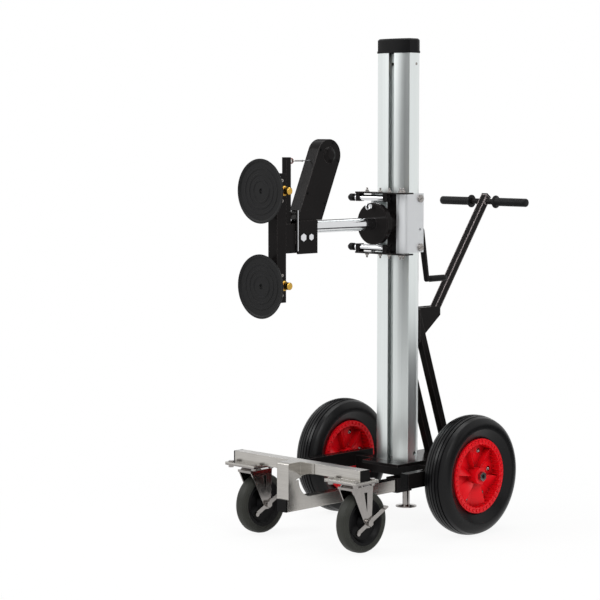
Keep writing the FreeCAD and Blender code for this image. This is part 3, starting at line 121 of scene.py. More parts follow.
class LifterSizes(bpy.types.PropertyGroup):
    """Sizes of the small parts."""
    rope_radius: length(2.0, "Rope radius", "Radius of the lifting rope")
    wire_radius: length(1.6, "Wire radius", "Radius of the balancer's wire")
    rope_strands: count(6, 3, 12, "Rope strands", "Outer strands of the rope and the wire")
    wire_ball: length(4.0, "Wire ball", "Radius of the ball swaged on the wire's end")
    grip_length: length(140, "Grip length", "Length of a hand grip with its guard")
    grip_radius: length(14.5, "Grip radius", "Radius of a hand grip's sleeve")
    grip_ribs: count(14, 4, 40, "Grip ribs", "Ribs along a hand grip")
    web_thickness: length(7, "Rim web", "Thickness of the rim's web under its bolts")
    rim_bolts: count(6, 3, 8, "Rim bolts", "Bolts through each rim")
    rim_bolt_radius: length(6.5, "Rim bolt", "Radius of a rim bolt's head")
    rim_bolt_height: length(6, "Rim bolt height", "Height of a rim bolt's head")
    rim_bolt_circle: length(84, "Bolt circle", "Radius on which the rim bolts stand")
    rim_bolt_turn: angle(37.8, "Bolt turn", "Turn of the first rim bolt from upright")
    rim_ledge: length(74, "Rim width", "Width of the rim over its two ledges")
    rim_wall: length(18, "Rim wall", "Depth of the dish's wall under the rim's edge")
    ring_inset: length(3, "Ring inset", "Distance of the toothed ring from the rim's edge")
    ring_width: length(11, "Ring width", "Width of the toothed ring")
    ring_teeth: count(40, 8, 90, "Ring teeth", "Teeth on each rim ledge, and ribs on each dish's wall")
    tooth_height: length(2.4, "Tooth height", "Height of the ring's teeth")
    rib_width: length(4.5, "Rib width", "Width of a rib at the dish's wall")
    rib_height: length(6, "Rib height", "Height of a rib, about half of it in the dish's wall")
    carriage_bolt: length(6.5, "Carriage bolt", "Radius of a bolt head on the rod plates")
    cup_bar: length(40, "Cup bar", "Width of the bars that carry the cups")
    valve_screw: length(5.5, "Valve screw", "Radius of a screw head beside a valve")
    valve_screw_reach: length(32, "Valve screws", "Height of the screws above and below a valve")
    balancer_radius: length(51.5, "Balancer radius", "Radius of the balancer's round head")
    balancer_cover: length(3.5, "Balancer cover", "Thickness of the balancer's cover at its edge")
    balancer_lean: angle(23.7, "Balancer lean", "Lean of the balancer from upright")
    cover_screw: length(4, "Cover screw", "Radius of a screw head on the balancer's cover")
    cover_screw_inset: length(9, "Cover screw inset", "Distance of the cover's screws from its edge")
    cover_screw_run: length(150, "Cover screw run", "Distance from the cover's head to its lower screws")
    weld_radius: length(2.6, "Weld", "Radius of a weld bead")


def colours():
    """The colours as the user has set them."""
    return bpy.context.scene.lifter_colours


def sizes():
    """The sizes as the user has set them."""
    return bpy.context.scene.lifter_sizes


def add(tree, kind, settings=None, inputs=None):
    """Adds one shader node: settings are its own fields, inputs take a value or another node's output."""
    made = tree.nodes.new("ShaderNode" + kind)
    for field, value in (settings or {}).items():
        setattr(made, field, value)
    for key, value in (inputs or {}).items():
        if isinstance(value, bpy.types.NodeSocket):
            tree.links.new(value, made.inputs[key])
        else:
            made.inputs[key].default_value = value
    return made


def per_mm(size):
    """Texture scale at which one feature measures this many millimetres."""
    return 1 / (size * MM)


def waves_of(size):
    """Wave texture scale at which one wave measures this many millimetres; scale 1 gives tau / 20 metres."""
    return per_mm(size) * math.tau / 20


def blank(name):
    """A new material and its emptied node tree."""
    material = bpy.data.materials.new(name)
    material.use_nodes = True
    material.node_tree.nodes.clear()
    return material, material.node_tree


def begin(name, metallic=0.0, ior=1.5, specular=0.5):
    """A new material with one Principled shader: gives the material, tree, shader and Object coordinates."""
    material, tree = blank(name)
    shader = add(tree, "BsdfPrincipled",
                 inputs={"Metallic": metallic, "IOR": ior, "Specular IOR Level": specular})
    add(tree, "OutputMaterial", inputs={"Surface": shader.outputs["BSDF"]})
    return material, tree, shader, add(tree, "TexCoord").outputs["Object"]


def tint(hue, share):
    """A colour made darker or lighter by a share."""
    return tuple(min(1.0, c * share) for c in hue[:3]) + (1.0,)


def dress(tree, shader, gloss, relief, tone=None, edge=None):
    """Lets patterns drive a shader's gloss, relief and colour, and gives the colour's ramp.

    The gloss is a pattern and its two roughnesses. The relief is a pattern, a strength and a depth in
    millimetres, laid over an edge's rounded normal where there is one. The tone is a pattern, a hue and
    two shares of that hue.
    """
    pattern, low, high = gloss
    rough = add(tree, "MapRange", inputs={"Value": pattern, "To Min": low, "To Max": high})
    tree.links.new(rough.outputs["Result"], shader.inputs["Roughness"])
    pattern, strength, depth = relief
    bump = add(tree, "Bump", inputs={"Height": pattern, "Strength": strength, "Distance": depth * MM})
    tree.links.new(bump.outputs["Normal"], shader.inputs["Normal"])
    if edge:
        tree.links.new(edge, bump.inputs["Normal"])
    if not tone:
        return None
    pattern, hue, *shares = tone
    ramp = add(tree, "ValToRGB", inputs={"Fac": pattern})
    for stop, share in zip(ramp.color_ramp.elements, shares):
        stop.color = tint(hue, share)
    tree.links.new(ramp.outputs["Color"], shader.inputs["Base Color"])
    return ramp


def powder_coat(name="satin_powder_coat", corner=2.0, wear_and_highlight=12.0):
    """Baked black powder: edges turn on a corner in millimetres, and are paler there by a share, as wear and
    painted highlight.
    """
    # Powder coat: baked polyester, satin black, with a fine orange peel and a slightly uneven gloss.
    material, tree, shader, place = begin(name, specular=0.06)
    hue = colours().powder_black
    cloud = add(tree, "TexNoise",
                inputs={"Vector": place, "Scale": per_mm(70), "Detail": 4.0}).outputs["Fac"]
    # The real peel is about 0.8 mm across; it is drawn at 2 mm so that it shows.
    peel = add(tree, "TexNoise", inputs={"Vector": place, "Scale": per_mm(2), "Detail": 2.0}).outputs["Fac"]
    edge = add(tree, "Bevel", {"samples": 4}, {"Radius": corner * MM}).outputs["Normal"]
    ramp = dress(tree, shader, (cloud, 0.12, 0.22), (peel, 0.12, 0.4), (cloud, hue, 0.8, 1.3), edge)
    # Baked powder draws thin over a sharp edge and use rubs it paler there; the paler edge is also a painted
    # highlight.
    flat = add(tree, "NewGeometry").outputs["Normal"]
    turn = add(tree, "VectorMath", {"operation": "DOT_PRODUCT"}, {0: edge, 1: flat})
    worn_and_lit_share = add(tree, "MapRange",
                 inputs={"Value": turn.outputs["Value"], "From Min": 0.97, "From Max": 0.8,
                         "To Min": 0.0, "To Max": 1.0})
    worn_and_lit_colour = add(tree, "Mix", {"data_type": "RGBA"},
               {"Factor": worn_and_lit_share.outputs["Result"], "A": ramp.outputs["Color"], "B": tint(hue, wear_and_highlight)})
    tree.links.new(worn_and_lit_colour.outputs["Result"], shader.inputs["Base Color"])
    return material


def tube_coat():
    # Drawn steel tube under the same powder: its corners are round, and the bright line of light along them
    # is a painted highlight.
    return powder_coat("powder_coated_tube", corner=5.0, wear_and_highlight=90.0)


def anodised_aluminium():
    # Extruded aluminium, satin anodised: fine die lines run up the mast and blur its reflections.
    material, tree, shader, place = begin("satin_anodised_aluminium", metallic=1.0)
    # Die lines are about 0.3 mm apart; they are drawn at 2.5 mm so that they show.
    along = add(tree, "Mapping", inputs={"Vector": place, "Scale": (per_mm(2.5), per_mm(2.5), per_mm(900))})
    lines = add(tree, "TexNoise",
                inputs={"Vector": along.outputs["Vector"], "Scale": 1.0, "Detail": 4.0}).outputs["Fac"]
    dress(tree, shader, (lines, 0.24, 0.36), (lines, 0.05, 0.3), (lines, colours().anodised, 0.9, 1.05))
    return material


def ground_stainless():
    # Stainless steel, ground along its length: warm grey with streaks that follow the belt.
    material, tree, shader, place = begin("ground_stainless_steel", metallic=1.0)
    # Belt marks are about 0.2 mm apart; they are drawn at 1.5 mm so that they show.
    along = add(tree, "Mapping", inputs={"Vector": place, "Scale": (per_mm(120), per_mm(120), per_mm(1.5))})
    marks = add(tree, "TexNoise",
                inputs={"Vector": along.outputs["Vector"], "Scale": 1.0, "Detail": 5.0}).outputs["Fac"]
    cloud = add(tree, "TexNoise",
                inputs={"Vector": place, "Scale": per_mm(90), "Detail": 2.0}).outputs["Fac"]
    both = add(tree, "Math", {"operation": "MULTIPLY_ADD"}, {0: cloud, 1: 0.5, 2: marks})
    edge = add(tree, "Bevel", {"samples": 4}, {"Radius": 1.5 * MM}).outputs["Normal"]
    ramp = dress(tree, shader, (marks, 0.12, 0.28), (marks, 0.08, 0.3),
                 (both.outputs["Value"], colours().stainless, 0.78, 1.1), edge)
    ramp.color_ramp.elements[0].position = 0.4
    return material


def zinc_plate():
    # Steel pressings, bright zinc plated: glossy grey silver with soft blotches from the bath.
    material, tree, shader, place = begin("bright_zinc_plate", metallic=1.0)
    blotch = add(tree, "TexNoise",
                 inputs={"Vector": place, "Scale": per_mm(14), "Detail": 4.0}).outputs["Fac"]
    grit = add(tree, "TexNoise",
               inputs={"Vector": place, "Scale": per_mm(1.5), "Detail": 2.0}).outputs["Fac"]
    edge = add(tree, "Bevel", {"samples": 4}, {"Radius": 0.8 * MM}).outputs["Normal"]
    dress(tree, shader, (blotch, 0.07, 0.2), (grit, 0.06, 0.3), (blotch, colours().zinc, 0.78, 1.1), edge)
    return material


def hard_chrome():
    # Ground steel bar, hard chromed: a near mirror with very faint marks from the grinding wheel.
    material, tree, shader, place = begin("hard_chrome", metallic=1.0)
    shader.inputs["Base Color"].default_value = colours().chrome
    smear = add(tree, "TexNoise",
                inputs={"Vector": place, "Scale": per_mm(25), "Detail": 3.0}).outputs["Fac"]
    # Grinding marks are about 0.1 mm wide; they are drawn at 1 mm so that they show.
    marks = add(tree, "TexNoise", inputs={"Vector": place, "Scale": per_mm(1), "Detail": 1.0}).outputs["Fac"]
    dress(tree, shader, (smear, 0.06, 0.16), (marks, 0.02, 0.2))
    return material


def silver_paint():
    # Steel plate, sprayed silver: fine aluminium flake under a satin clear coat.
    material, tree, shader, place = begin("silver_flake_paint", metallic=0.55)
    shader.inputs["Coat Weight"].default_value = 0.2
    shader.inputs["Coat Roughness"].default_value = 0.25
    # Flake is about 0.05 mm; it is drawn at 0.8 mm so that it shows.
    flake = add(tree, "TexVoronoi", inputs={"Vector": place, "Scale": per_mm(0.8)}).outputs["Distance"]
    peel = add(tree, "TexNoise", inputs={"Vector": place, "Scale": per_mm(3), "Detail": 2.0}).outputs["Fac"]
    dress(tree, shader, (peel, 0.3, 0.42), (peel, 0.05, 0.3), (flake, colours().silver, 1.04, 0.9))
    return material


def red_polypropylene():
    # Polypropylene, injection moulded in red: even saturated colour, soft gloss and faint flow marks.
    material, tree, shader, place = begin("red_moulded_polypropylene", ior=1.49, specular=0.2)
    hue = colours().rim_red
    flow = add(tree, "TexNoise", inputs={"Vector": place, "Scale": per_mm(45), "Detail": 3.0}).outputs["Fac"]
    skin = add(tree, "TexNoise",
               inputs={"Vector": place, "Scale": per_mm(2.5), "Detail": 2.0}).outputs["Fac"]
    edge = add(tree, "Bevel", {"samples": 4}, {"Radius": 1.5 * MM}).outputs["Normal"]
    ramp = dress(tree, shader, (flow, 0.24, 0.38), (skin, 0.05, 0.3), (flow, hue, 0.88, 1.1), edge)
    # Painted shade: light is lost in the corners between the vanes, within about 30 mm, and the red is
    # painted darker there.
    corner = add(tree, "AmbientOcclusion", {"samples": 8, "only_local": True}, {"Distance": 30 * MM})
    depth = add(tree, "MapRange",
                inputs={"Value": corner.outputs["AO"], "From Min": 0.4, "From Max": 0.9,
                        "To Min": 0.7, "To Max": 0.0})
    deep = add(tree, "Mix", {"data_type": "RGBA"},
               {"Factor": depth.outputs["Result"], "A": ramp.outputs["Color"], "B": tint(hue, 0.3)})
    tree.links.new(deep.outputs["Result"], shader.inputs["Base Color"])
    return material


def black_abs():
    # ABS, injection moulded in black from a spark-eroded mould: a fine even grain and a low gloss.
    material, tree, shader, place = begin("black_moulded_abs", specular=0.1)
    cloud = add(tree, "TexNoise",
                inputs={"Vector": place, "Scale": per_mm(40), "Detail": 3.0}).outputs["Fac"]
    # Spark grain is about 0.2 mm; it is drawn at 1 mm so that it shows.
    grain = add(tree, "TexVoronoi", inputs={"Vector": place, "Scale": per_mm(1)}).outputs["Distance"]
    edge = add(tree, "Bevel", {"samples": 4}, {"Radius": 1.2 * MM}).outputs["Normal"]
    dress(tree, shader, (cloud, 0.34, 0.48), (grain, 0.1, 0.2),
          (cloud, colours().plastic_black, 0.85, 1.25), edge)
    return material


def rubber(name, hue, rough, grain):
    """Cured black rubber: a skin with a mould grain in millimetres and a little bloom."""
    material, tree, shader, place = begin(name, ior=1.52, specular=0.16)
    bloom = add(tree, "TexNoise",
                inputs={"Vector": place, "Scale": per_mm(35), "Detail": 5.0}).outputs["Fac"]
    skin = add(tree, "TexNoise",
               inputs={"Vector": place, "Scale": per_mm(grain), "Detail": 3.0}).outputs["Fac"]
    dress(tree, shader, (bloom, rough - 0.06, rough + 0.08), (skin, 0.14, 0.4), (bloom, hue, 0.8, 1.3))
    return material


def tyre_rubber():
    # Road tyre, moulded rubber: satin black with a fine skin and a faint grey bloom.
    return rubber("moulded_tyre_rubber", colours().tyre, rough=0.29, grain=2.0)


def caster_rubber():
    # Elastic caster rubber: dull grey-green black, a little dusty.
    return rubber("elastic_caster_rubber", colours().caster_rubber, rough=0.5, grain=1.5)


def cup_rubber():
    # Suction cup, soft moulded rubber: matt black with a smooth skin.
    return rubber("soft_cup_rubber", colours().cup, rough=0.44, grain=3.0)


def grip_rubber():
    # Hand grip, extruded rubber: matt black with a coarse skin.
    return rubber("matt_grip_rubber", colours().grip, rough=0.52, grain=1.2)


def turned_brass():
    # Free-cutting brass, turned: warm yellow with fine rings from the tool.
    material, tree, shader, place = begin("turned_brass", metallic=1.0)
    # Tool rings are about 0.15 mm apart; they are drawn at 5 mm so that they show.
    rings = add(tree, "TexWave", {"wave_type": "RINGS", "rings_direction": "X"},
                {"Vector": place, "Scale": waves_of(5.0265), "Distortion": 1.5,
                 "Detail": 2.0}).outputs["Fac"]
    stain = add(tree, "TexNoise", inputs={"Vector": place, "Scale": per_mm(6), "Detail": 3.0}).outputs["Fac"]
    dress(tree, shader, (stain, 0.16, 0.34), (rings, 0.06, 0.2), (rings, colours().brass, 0.82, 1.08))
    return material


def copper_eye():
    # Copper-plated steel ring: reddish metal with darker spots where the plate is thin.
    material, tree, shader, place = begin("copper_plate", metallic=0.8)
    spots = add(tree, "TexNoise", inputs={"Vector": place, "Scale": per_mm(5), "Detail": 4.0}).outputs["Fac"]
    dress(tree, shader, (spots, 0.26, 0.46), (spots, 0.08, 0.2), (spots, colours().eye, 0.7, 1.15))
    return material


def laid_wire():
    # Galvanised steel wire rope: bright strands, with the colour darker in bands along the grooves between
    # them.
    material, tree, shader, place = begin("galvanised_wire_rope", metallic=1.0)
    # The lay of a 4 mm rope repeats about every 25 mm, and the turn makes its bands lean.
    twist = add(tree, "Mapping", inputs={"Vector": place, "Rotation": (0.5, 0.5, 0.0)})
    lay = add(tree, "TexWave", {"bands_direction": "Z"},
              {"Vector": twist.outputs["Vector"], "Scale": waves_of(25.133),
               "Distortion": 0.5}).outputs["Fac"]
    ramp = dress(tree, shader, (lay, 0.5, 0.26), (lay, 0.4, 0.5), (lay, colours().wire, 0.35, 1.1))
    ramp.color_ramp.elements[1].position = 0.6
    return material


def natural_nylon():
    # Cast nylon, machined: milky off-white, slightly translucent, with a waxy gloss.
    material, tree, shader, place = begin("natural_nylon", ior=1.53)
    shader.inputs["Subsurface Weight"].default_value = 0.15
    shader.inputs["Subsurface Radius"].default_value = (3 * MM, 3 * MM, 2 * MM)
    cloud = add(tree, "TexNoise",
                inputs={"Vector": place, "Scale": per_mm(20), "Detail": 3.0}).outputs["Fac"]
    dress(tree, shader, (cloud, 0.34, 0.48), (cloud, 0.05, 0.3), (cloud, colours().nylon, 0.9, 1.0))
    return material


# Each material slot of the record has a finish, and so has drawn tube.
FINISHES = {
    "black_paint": powder_coat, "black_tube": tube_coat, "mast_aluminium": anodised_aluminium,
    "stainless": ground_stainless, "zinc": zinc_plate, "chrome": hard_chrome, "silver_paint": silver_paint,
    "red_plastic": red_polypropylene, "black_plastic": black_abs, "tyre_rubber": tyre_rubber,
    "caster_rubber": caster_rubber, "cup_rubber": cup_rubber, "grip_rubber": grip_rubber,
    "brass": turned_brass, "eye_plate": copper_eye, "wire_steel": laid_wire, "white_nylon": natural_nylon,
}
TUBE_NODES = ("handle_stem",)
MADE = {}


def finish_of(slot):
    """The material of a slot, made the first time it is asked for."""
    if slot not in MADE:
        MADE[slot] = FINISHES[slot]()
    return MADE[slot]


def clear_selection():
    """Leaves edit mode and deselects everything."""
    if bpy.context.object and bpy.context.object.mode != "OBJECT":
        bpy.ops.object.mode_set(mode="OBJECT")
    bpy.ops.object.select_all(action="DESELECT")


def settle(name, slot, crease=35):
    """Names the active piece, puts its place into its mesh, smooths it and gives it its slot's finish."""
    piece = bpy.context.object
    bpy.ops.object.transform_apply(location=True, rotation=True, scale=True)
    piece.name = name
    piece.data.name = name
    bpy.ops.object.shade_smooth_by_angle(angle=math.radians(crease))
    piece.data.materials.clear()
    piece.data.materials.append(finish_of(slot))
    return piece


def pick(kind, test):
    """In edit mode, selects the vertices or faces whose middle and normal pass the test."""
    bpy.ops.mesh.select_mode(type=kind)
    bpy.ops.mesh.select_all(action="DESELECT")
    mesh = bpy.context.object.data
    shape = bmesh.from_edit_mesh(mesh)
    for item in (shape.verts if kind == "VERT" else shape.faces):
        middle = item.co if kind == "VERT" else item.calc_center_median()
        if test(middle, item.normal):
            item.select_set(True)
    shape.select_flush_mode()
    bmesh.update_edit_mesh(mesh)


def middle_of(node):
    """The middle of a CAD node's box."""
    low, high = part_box(node)
    return (low + high) / 2


def turned(axis, turn, centre):
    """A turn about an axis through a centre."""
    return Matrix.Translation(centre) @ Matrix.Rotation(turn, 4, axis) @ Matrix.Translation(-centre)


def turn_piece(stations, sides, foot, way):
    """A turned piece: a disc at the foot, extruded along the way to each (height, radius) in millimetres."""
    clear_selection()
    height, radius = stations[0]
    bpy.ops.mesh.primitive_circle_add(vertices=sides, radius=radius * MM, fill_type="NGON",
                                      location=foot + way * (height * MM),
                                      rotation=way.to_track_quat("Z", "Y").to_euler())
    bpy.ops.object.mode_set(mode="EDIT")
    bpy.ops.mesh.select_all(action="SELECT")
    for next_height, next_radius in stations[1:]:
        bpy.ops.mesh.extrude_region_move(
            TRANSFORM_OT_translate={"value": way * ((next_height - height) * MM)})
        bpy.ops.transform.resize(value=(next_radius / radius,) * 3,
                                 center_override=foot + way * (next_height * MM))
        height, radius = next_height, next_radius
    bpy.ops.mesh.select_all(action="SELECT")
    bpy.ops.mesh.normals_make_consistent(inside=False)
    bpy.ops.object.mode_set(mode="OBJECT")
    return bpy.context.object


def join(pieces):
    """Joins pieces into the first one, which stays active."""
    clear_selection()
    for piece in pieces:
        piece.select_set(True)
    bpy.context.view_layer.objects.active = pieces[0]
    bpy.ops.object.join()
    return bpy.context.object


def copy_to(first, turns):
    """Copies a piece once for each matrix, each copy with its own mesh, and joins the copies into one."""
    copies = []
    for turn in turns:
        clear_selection()
        first.select_set(True)
        bpy.context.view_layer.objects.active = first
        bpy.ops.object.duplicate(linked=False)
        copy = bpy.context.object
        copy.matrix_basis = turn @ first.matrix_basis
        copies.append(copy)
    bpy.data.objects.remove(first)
    return join(copies)


def hex_bolt(radius, foot, way):
    """Hex head on a washer with the ridged end of its thread standing out, its radius in millimetres."""
    washer, head, thread, pitch = 1.6, 5, 7, 1.2
    top = washer + head
    ridges = [(top, radius * 0.5)]
    while ridges[-1][0] < top + thread:
        valley = ridges[-1][0]
        ridges += [(valley + pitch / 2, radius * 0.55), (valley + pitch, radius * 0.48)]
    ridges.append((ridges[-1][0] + pitch / 2, radius * 0.36))
    flats = [(washer, radius * 0.9), (washer + 0.5, radius), (top - 1, radius), (top, radius * 0.88)]
    under = [(0, radius * 1.3), (washer * 0.7, radius * 1.3), (washer, radius * 1.22)]
    return join([turn_piece(stations, sides, foot, way)
                 for stations, sides in ((under, 20), (flats, 6), (ridges, 12))])


def dome_bolt(radius, height, foot, way):
    """Domed head with a narrow collar, in millimetres."""
    collar = [(0, radius * 1.3), (1.2, radius * 1.3), (1.6, radius)]
    dome = [(height * 0.6, radius * 0.92), (height * 0.85, radius * 0.68), (height * 0.97, radius * 0.36),
            (height, radius * 0.1)]
    return turn_piece(collar + dome, sides=18, foot=foot, way=way)


def socket_screw(radius, height, foot, way):
    """Round screw head with a rounded edge and a socket sunk into it, in millimetres."""
    head = [(0, radius), (height * 0.7, radius), (height * 0.92, radius * 0.94), (height, radius * 0.84)]
    socket = [(height, radius * 0.5), (height * 0.4, radius * 0.46)]
    return turn_piece(head + socket, sides=18, foot=foot, way=way)


def weld_bead(start, end):
    """A weld bead: short swollen ripples in a row from start to end."""
    radius = sizes().weld_radius / MM
    way = end - start
    run = way.length / MM
    ripples = max(4, round(run / (radius * 1.1)))
    step = run / ripples
    stations = [(0, radius * 0.5)]
    for k in range(ripples):
        stations += [((k + 0.45) * step, radius), ((k + 1) * step, radius * 0.82)]
    stations[-1] = (run, radius * 0.5)
    return turn_piece(stations, sides=8, foot=start, way=way.normalized())


def strand_tube(start, end, radius):
    """A straight wire with one lobe for each strand, made of two end rings from start to end."""
    clear_selection()
    strands = sizes().rope_strands
    way = end - start
    bpy.ops.mesh.primitive_cylinder_add(vertices=strands * 4, radius=radius, depth=way.length,
                                        end_fill_type="NGON", location=(start + end) / 2,
                                        rotation=way.to_track_quat("Z", "Y").to_euler())
    bpy.ops.object.mode_set(mode="EDIT")
    step = math.tau / strands
    pick("VERT", lambda co, normal: abs((math.atan2(co.y, co.x) + step / 2) % step - step / 2) > step * 0.4)
    groove_share = 0.82
    bpy.ops.transform.resize(value=(groove_share, groove_share, 1.0), orient_type="LOCAL",
                             center_override=bpy.context.object.location)
    bpy.ops.object.mode_set(mode="OBJECT")
    return bpy.context.object


class LIFTER_OT_cad_finishes(bpy.types.Operator):
    """Gives every CAD node the finish of its material slot, or of drawn tube"""
    bl_idname = "lifter.cad_finishes"
    bl_label = "CAD finishes"

    def execute(self, context):
        for name, node in frame["nodes"].items():
            slot = "black_tube" if name in TUBE_NODES else SLOT_OF[name]
            node.data.materials.clear()
            node.data.materials.append(finish_of(slot))
        return {"FINISHED"}


class LIFTER_OT_lift_rope(bpy.types.Operator):
    """Strands the lifting rope: a front run, and a back run with its bend that stays with the chassis"""
    bl_idname = "lifter.lift_rope"
    bl_label = "Lifting rope"

    def execute(self, context):
        radius = sizes().rope_radius
        low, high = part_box("lift_rope")
        across = (low.x + high.x) / 2
        sheave = middle_of("top_sheave")
        front, back = low.y + radius, high.y - radius
        top = Vector((across, front, sheave.z))
        foot = Vector((across, front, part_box("mast_follower")[1].z))
        strand_tube(top, foot, radius)
        run = settle("lift_rope_front", "wire_steel")
        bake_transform(run)
        back_run = strand_tube(Vector((across, back, sheave.z)), Vector((across, back, low.z)), radius)
        bend_steps = 18
        bend_centre = Vector((across, (front + back) / 2, sheave.z))
        clear_selection()
        bpy.ops.mesh.primitive_circle_add(vertices=sizes().rope_strands * 4, radius=radius, location=top)
        bpy.ops.object.mode_set(mode="EDIT")
        bpy.ops.mesh.select_all(action="SELECT")
        bpy.ops.mesh.spin(steps=bend_steps, angle=-math.pi, center=bend_centre, axis=ACROSS)
        bpy.ops.mesh.select_all(action="SELECT")
        bpy.ops.mesh.fill_holes(sides=0)
        bpy.ops.mesh.normals_make_consistent(inside=False)
        bpy.ops.object.mode_set(mode="OBJECT")
        join([back_run, context.object])
        piece = settle("lift_rope_back", "wire_steel")
        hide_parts("lift_rope")
        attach(piece, "chassis")
        return {"FINISHED"}


class LIFTER_OT_balance_wire(bpy.types.Operator):
    """Strands the balancer's wire from the balancer to a swaged ball at the snap hook"""
    bl_idname = "lifter.balance_wire"
    bl_label = "Balancer wire"

    def execute(self, context):
        low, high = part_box("balance_wire")
        middle = (low + high) / 2
        start, end = Vector((middle.x, high.y, middle.z)), Vector((middle.x, low.y, middle.z))
        wire = strand_tube(start, end, sizes().wire_radius)
        radius = sizes().wire_ball / MM
        # Each point of the ball is shares of its radius, along the wire and out from it.
        shares = ((-0.95, 0.3), (-0.725, 0.725), (0, 1), (0.725, 0.725), (0.95, 0.3))
        stations = [(radius * along, radius * out) for along, out in shares]
        ball = turn_piece(stations, sides=16, foot=end, way=(start - end).normalized())
        join([wire, ball])
        wire = settle("balance_wire_strands", "wire_steel")
        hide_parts("balance_wire")
        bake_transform(wire)
        return {"FINISHED"}


class LIFTER_OT_suction_cups(bpy.types.Operator):
    """Moulds the two suction cups: a stepped back, a thin flared lip and rings on the face"""
    bl_idname = "lifter.suction_cups"
    bl_label = "Suction cups"

    def execute(self, context):
        low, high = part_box("cup_pads")
        rim = (high.x - low.x) / 2 / MM
        deep = (high.y - low.y) / MM
        # Each point of the back is a height and a distance in from the rim, in millimetres.
        back = ((0, 26), (1.5, 24), (3, 24), (4, 20), (7, 15), (9, 14), (10, 11), (14, 5))
        # Each point of the lip is a depth under the face and a distance in from the rim.
        lip = ((3, 1), (1.2, 0), (0, 1), (0, 7), (1, 9), (3.6, 11))
        stations = [(0, 30)] + [(height, rim - inset) for height, inset in back]
        stations += [(deep - drop, rim - inset) for drop, inset in lip]
        floor, crest = deep - 4, deep - 2.4
        for ring_share in (0.7, 0.52, 0.34):
            ring = rim * ring_share
            stations += [(floor, ring + 4), (crest, ring + 2.5), (crest, ring - 2.5), (floor, ring - 4)]
        stations += [(floor, 8), (floor - 4, 6)]
        foot = Vector((0, high.y, high.z - rim * MM))
        cup = turn_piece(stations, sides=72, foot=foot, way=FRONT)
        drop = high.z - low.z - 2 * rim * MM
        copy_to(cup, [Matrix.Identity(4), Matrix.Translation(UP * -drop)])
        piece = settle("suction_cups", "cup_rubber", crease=40)
        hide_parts("cup_pads")
        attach(piece, "tilt")
        return {"FINISHED"}


class LIFTER_OT_hand_grips(bpy.types.Operator):
    """Moulds the two hand grips: a finger guard, a ribbed sleeve and a rounded end"""
    bl_idname = "lifter.hand_grips"
    bl_label = "Hand grips"

    def execute(self, context):
        low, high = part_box("handle_grips")
        guard = (high.z - low.z) / 2 / MM
        reach = sizes().grip_length / MM
        radius = sizes().grip_radius / MM
        ribs = sizes().grip_ribs
        plain, groove = 14, 1
        stations = [(0, radius), (0, guard - 1.5), (1.5, guard), (4.5, guard), (6, guard - 1.5)]
        stations += [(8, radius + 2), (plain, radius)]
        pitch = (reach - 2 * plain) / ribs
        for k in range(ribs):
            foot = plain + k * pitch
            stations += [(foot + pitch * 0.2, radius), (foot + pitch * 0.35, radius - groove),
                         (foot + pitch * 0.6, radius - groove), (foot + pitch * 0.75, radius)]
        stations += [(reach - 4, radius), (reach - 1.2, radius - 1.2), (reach, radius - 4)]
        centre = (low + high) / 2
        inner = Vector((high.x - sizes().grip_length, centre.y, centre.z))
        grip = turn_piece(stations, sides=32, foot=inner, way=ACROSS)
        copy_to(grip, [Matrix.Identity(4), turned("Z", math.pi, centre)])
        piece = settle("hand_grips", "grip_rubber")
        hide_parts("handle_grips")
        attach(piece, "chassis")
        return {"FINISHED"}


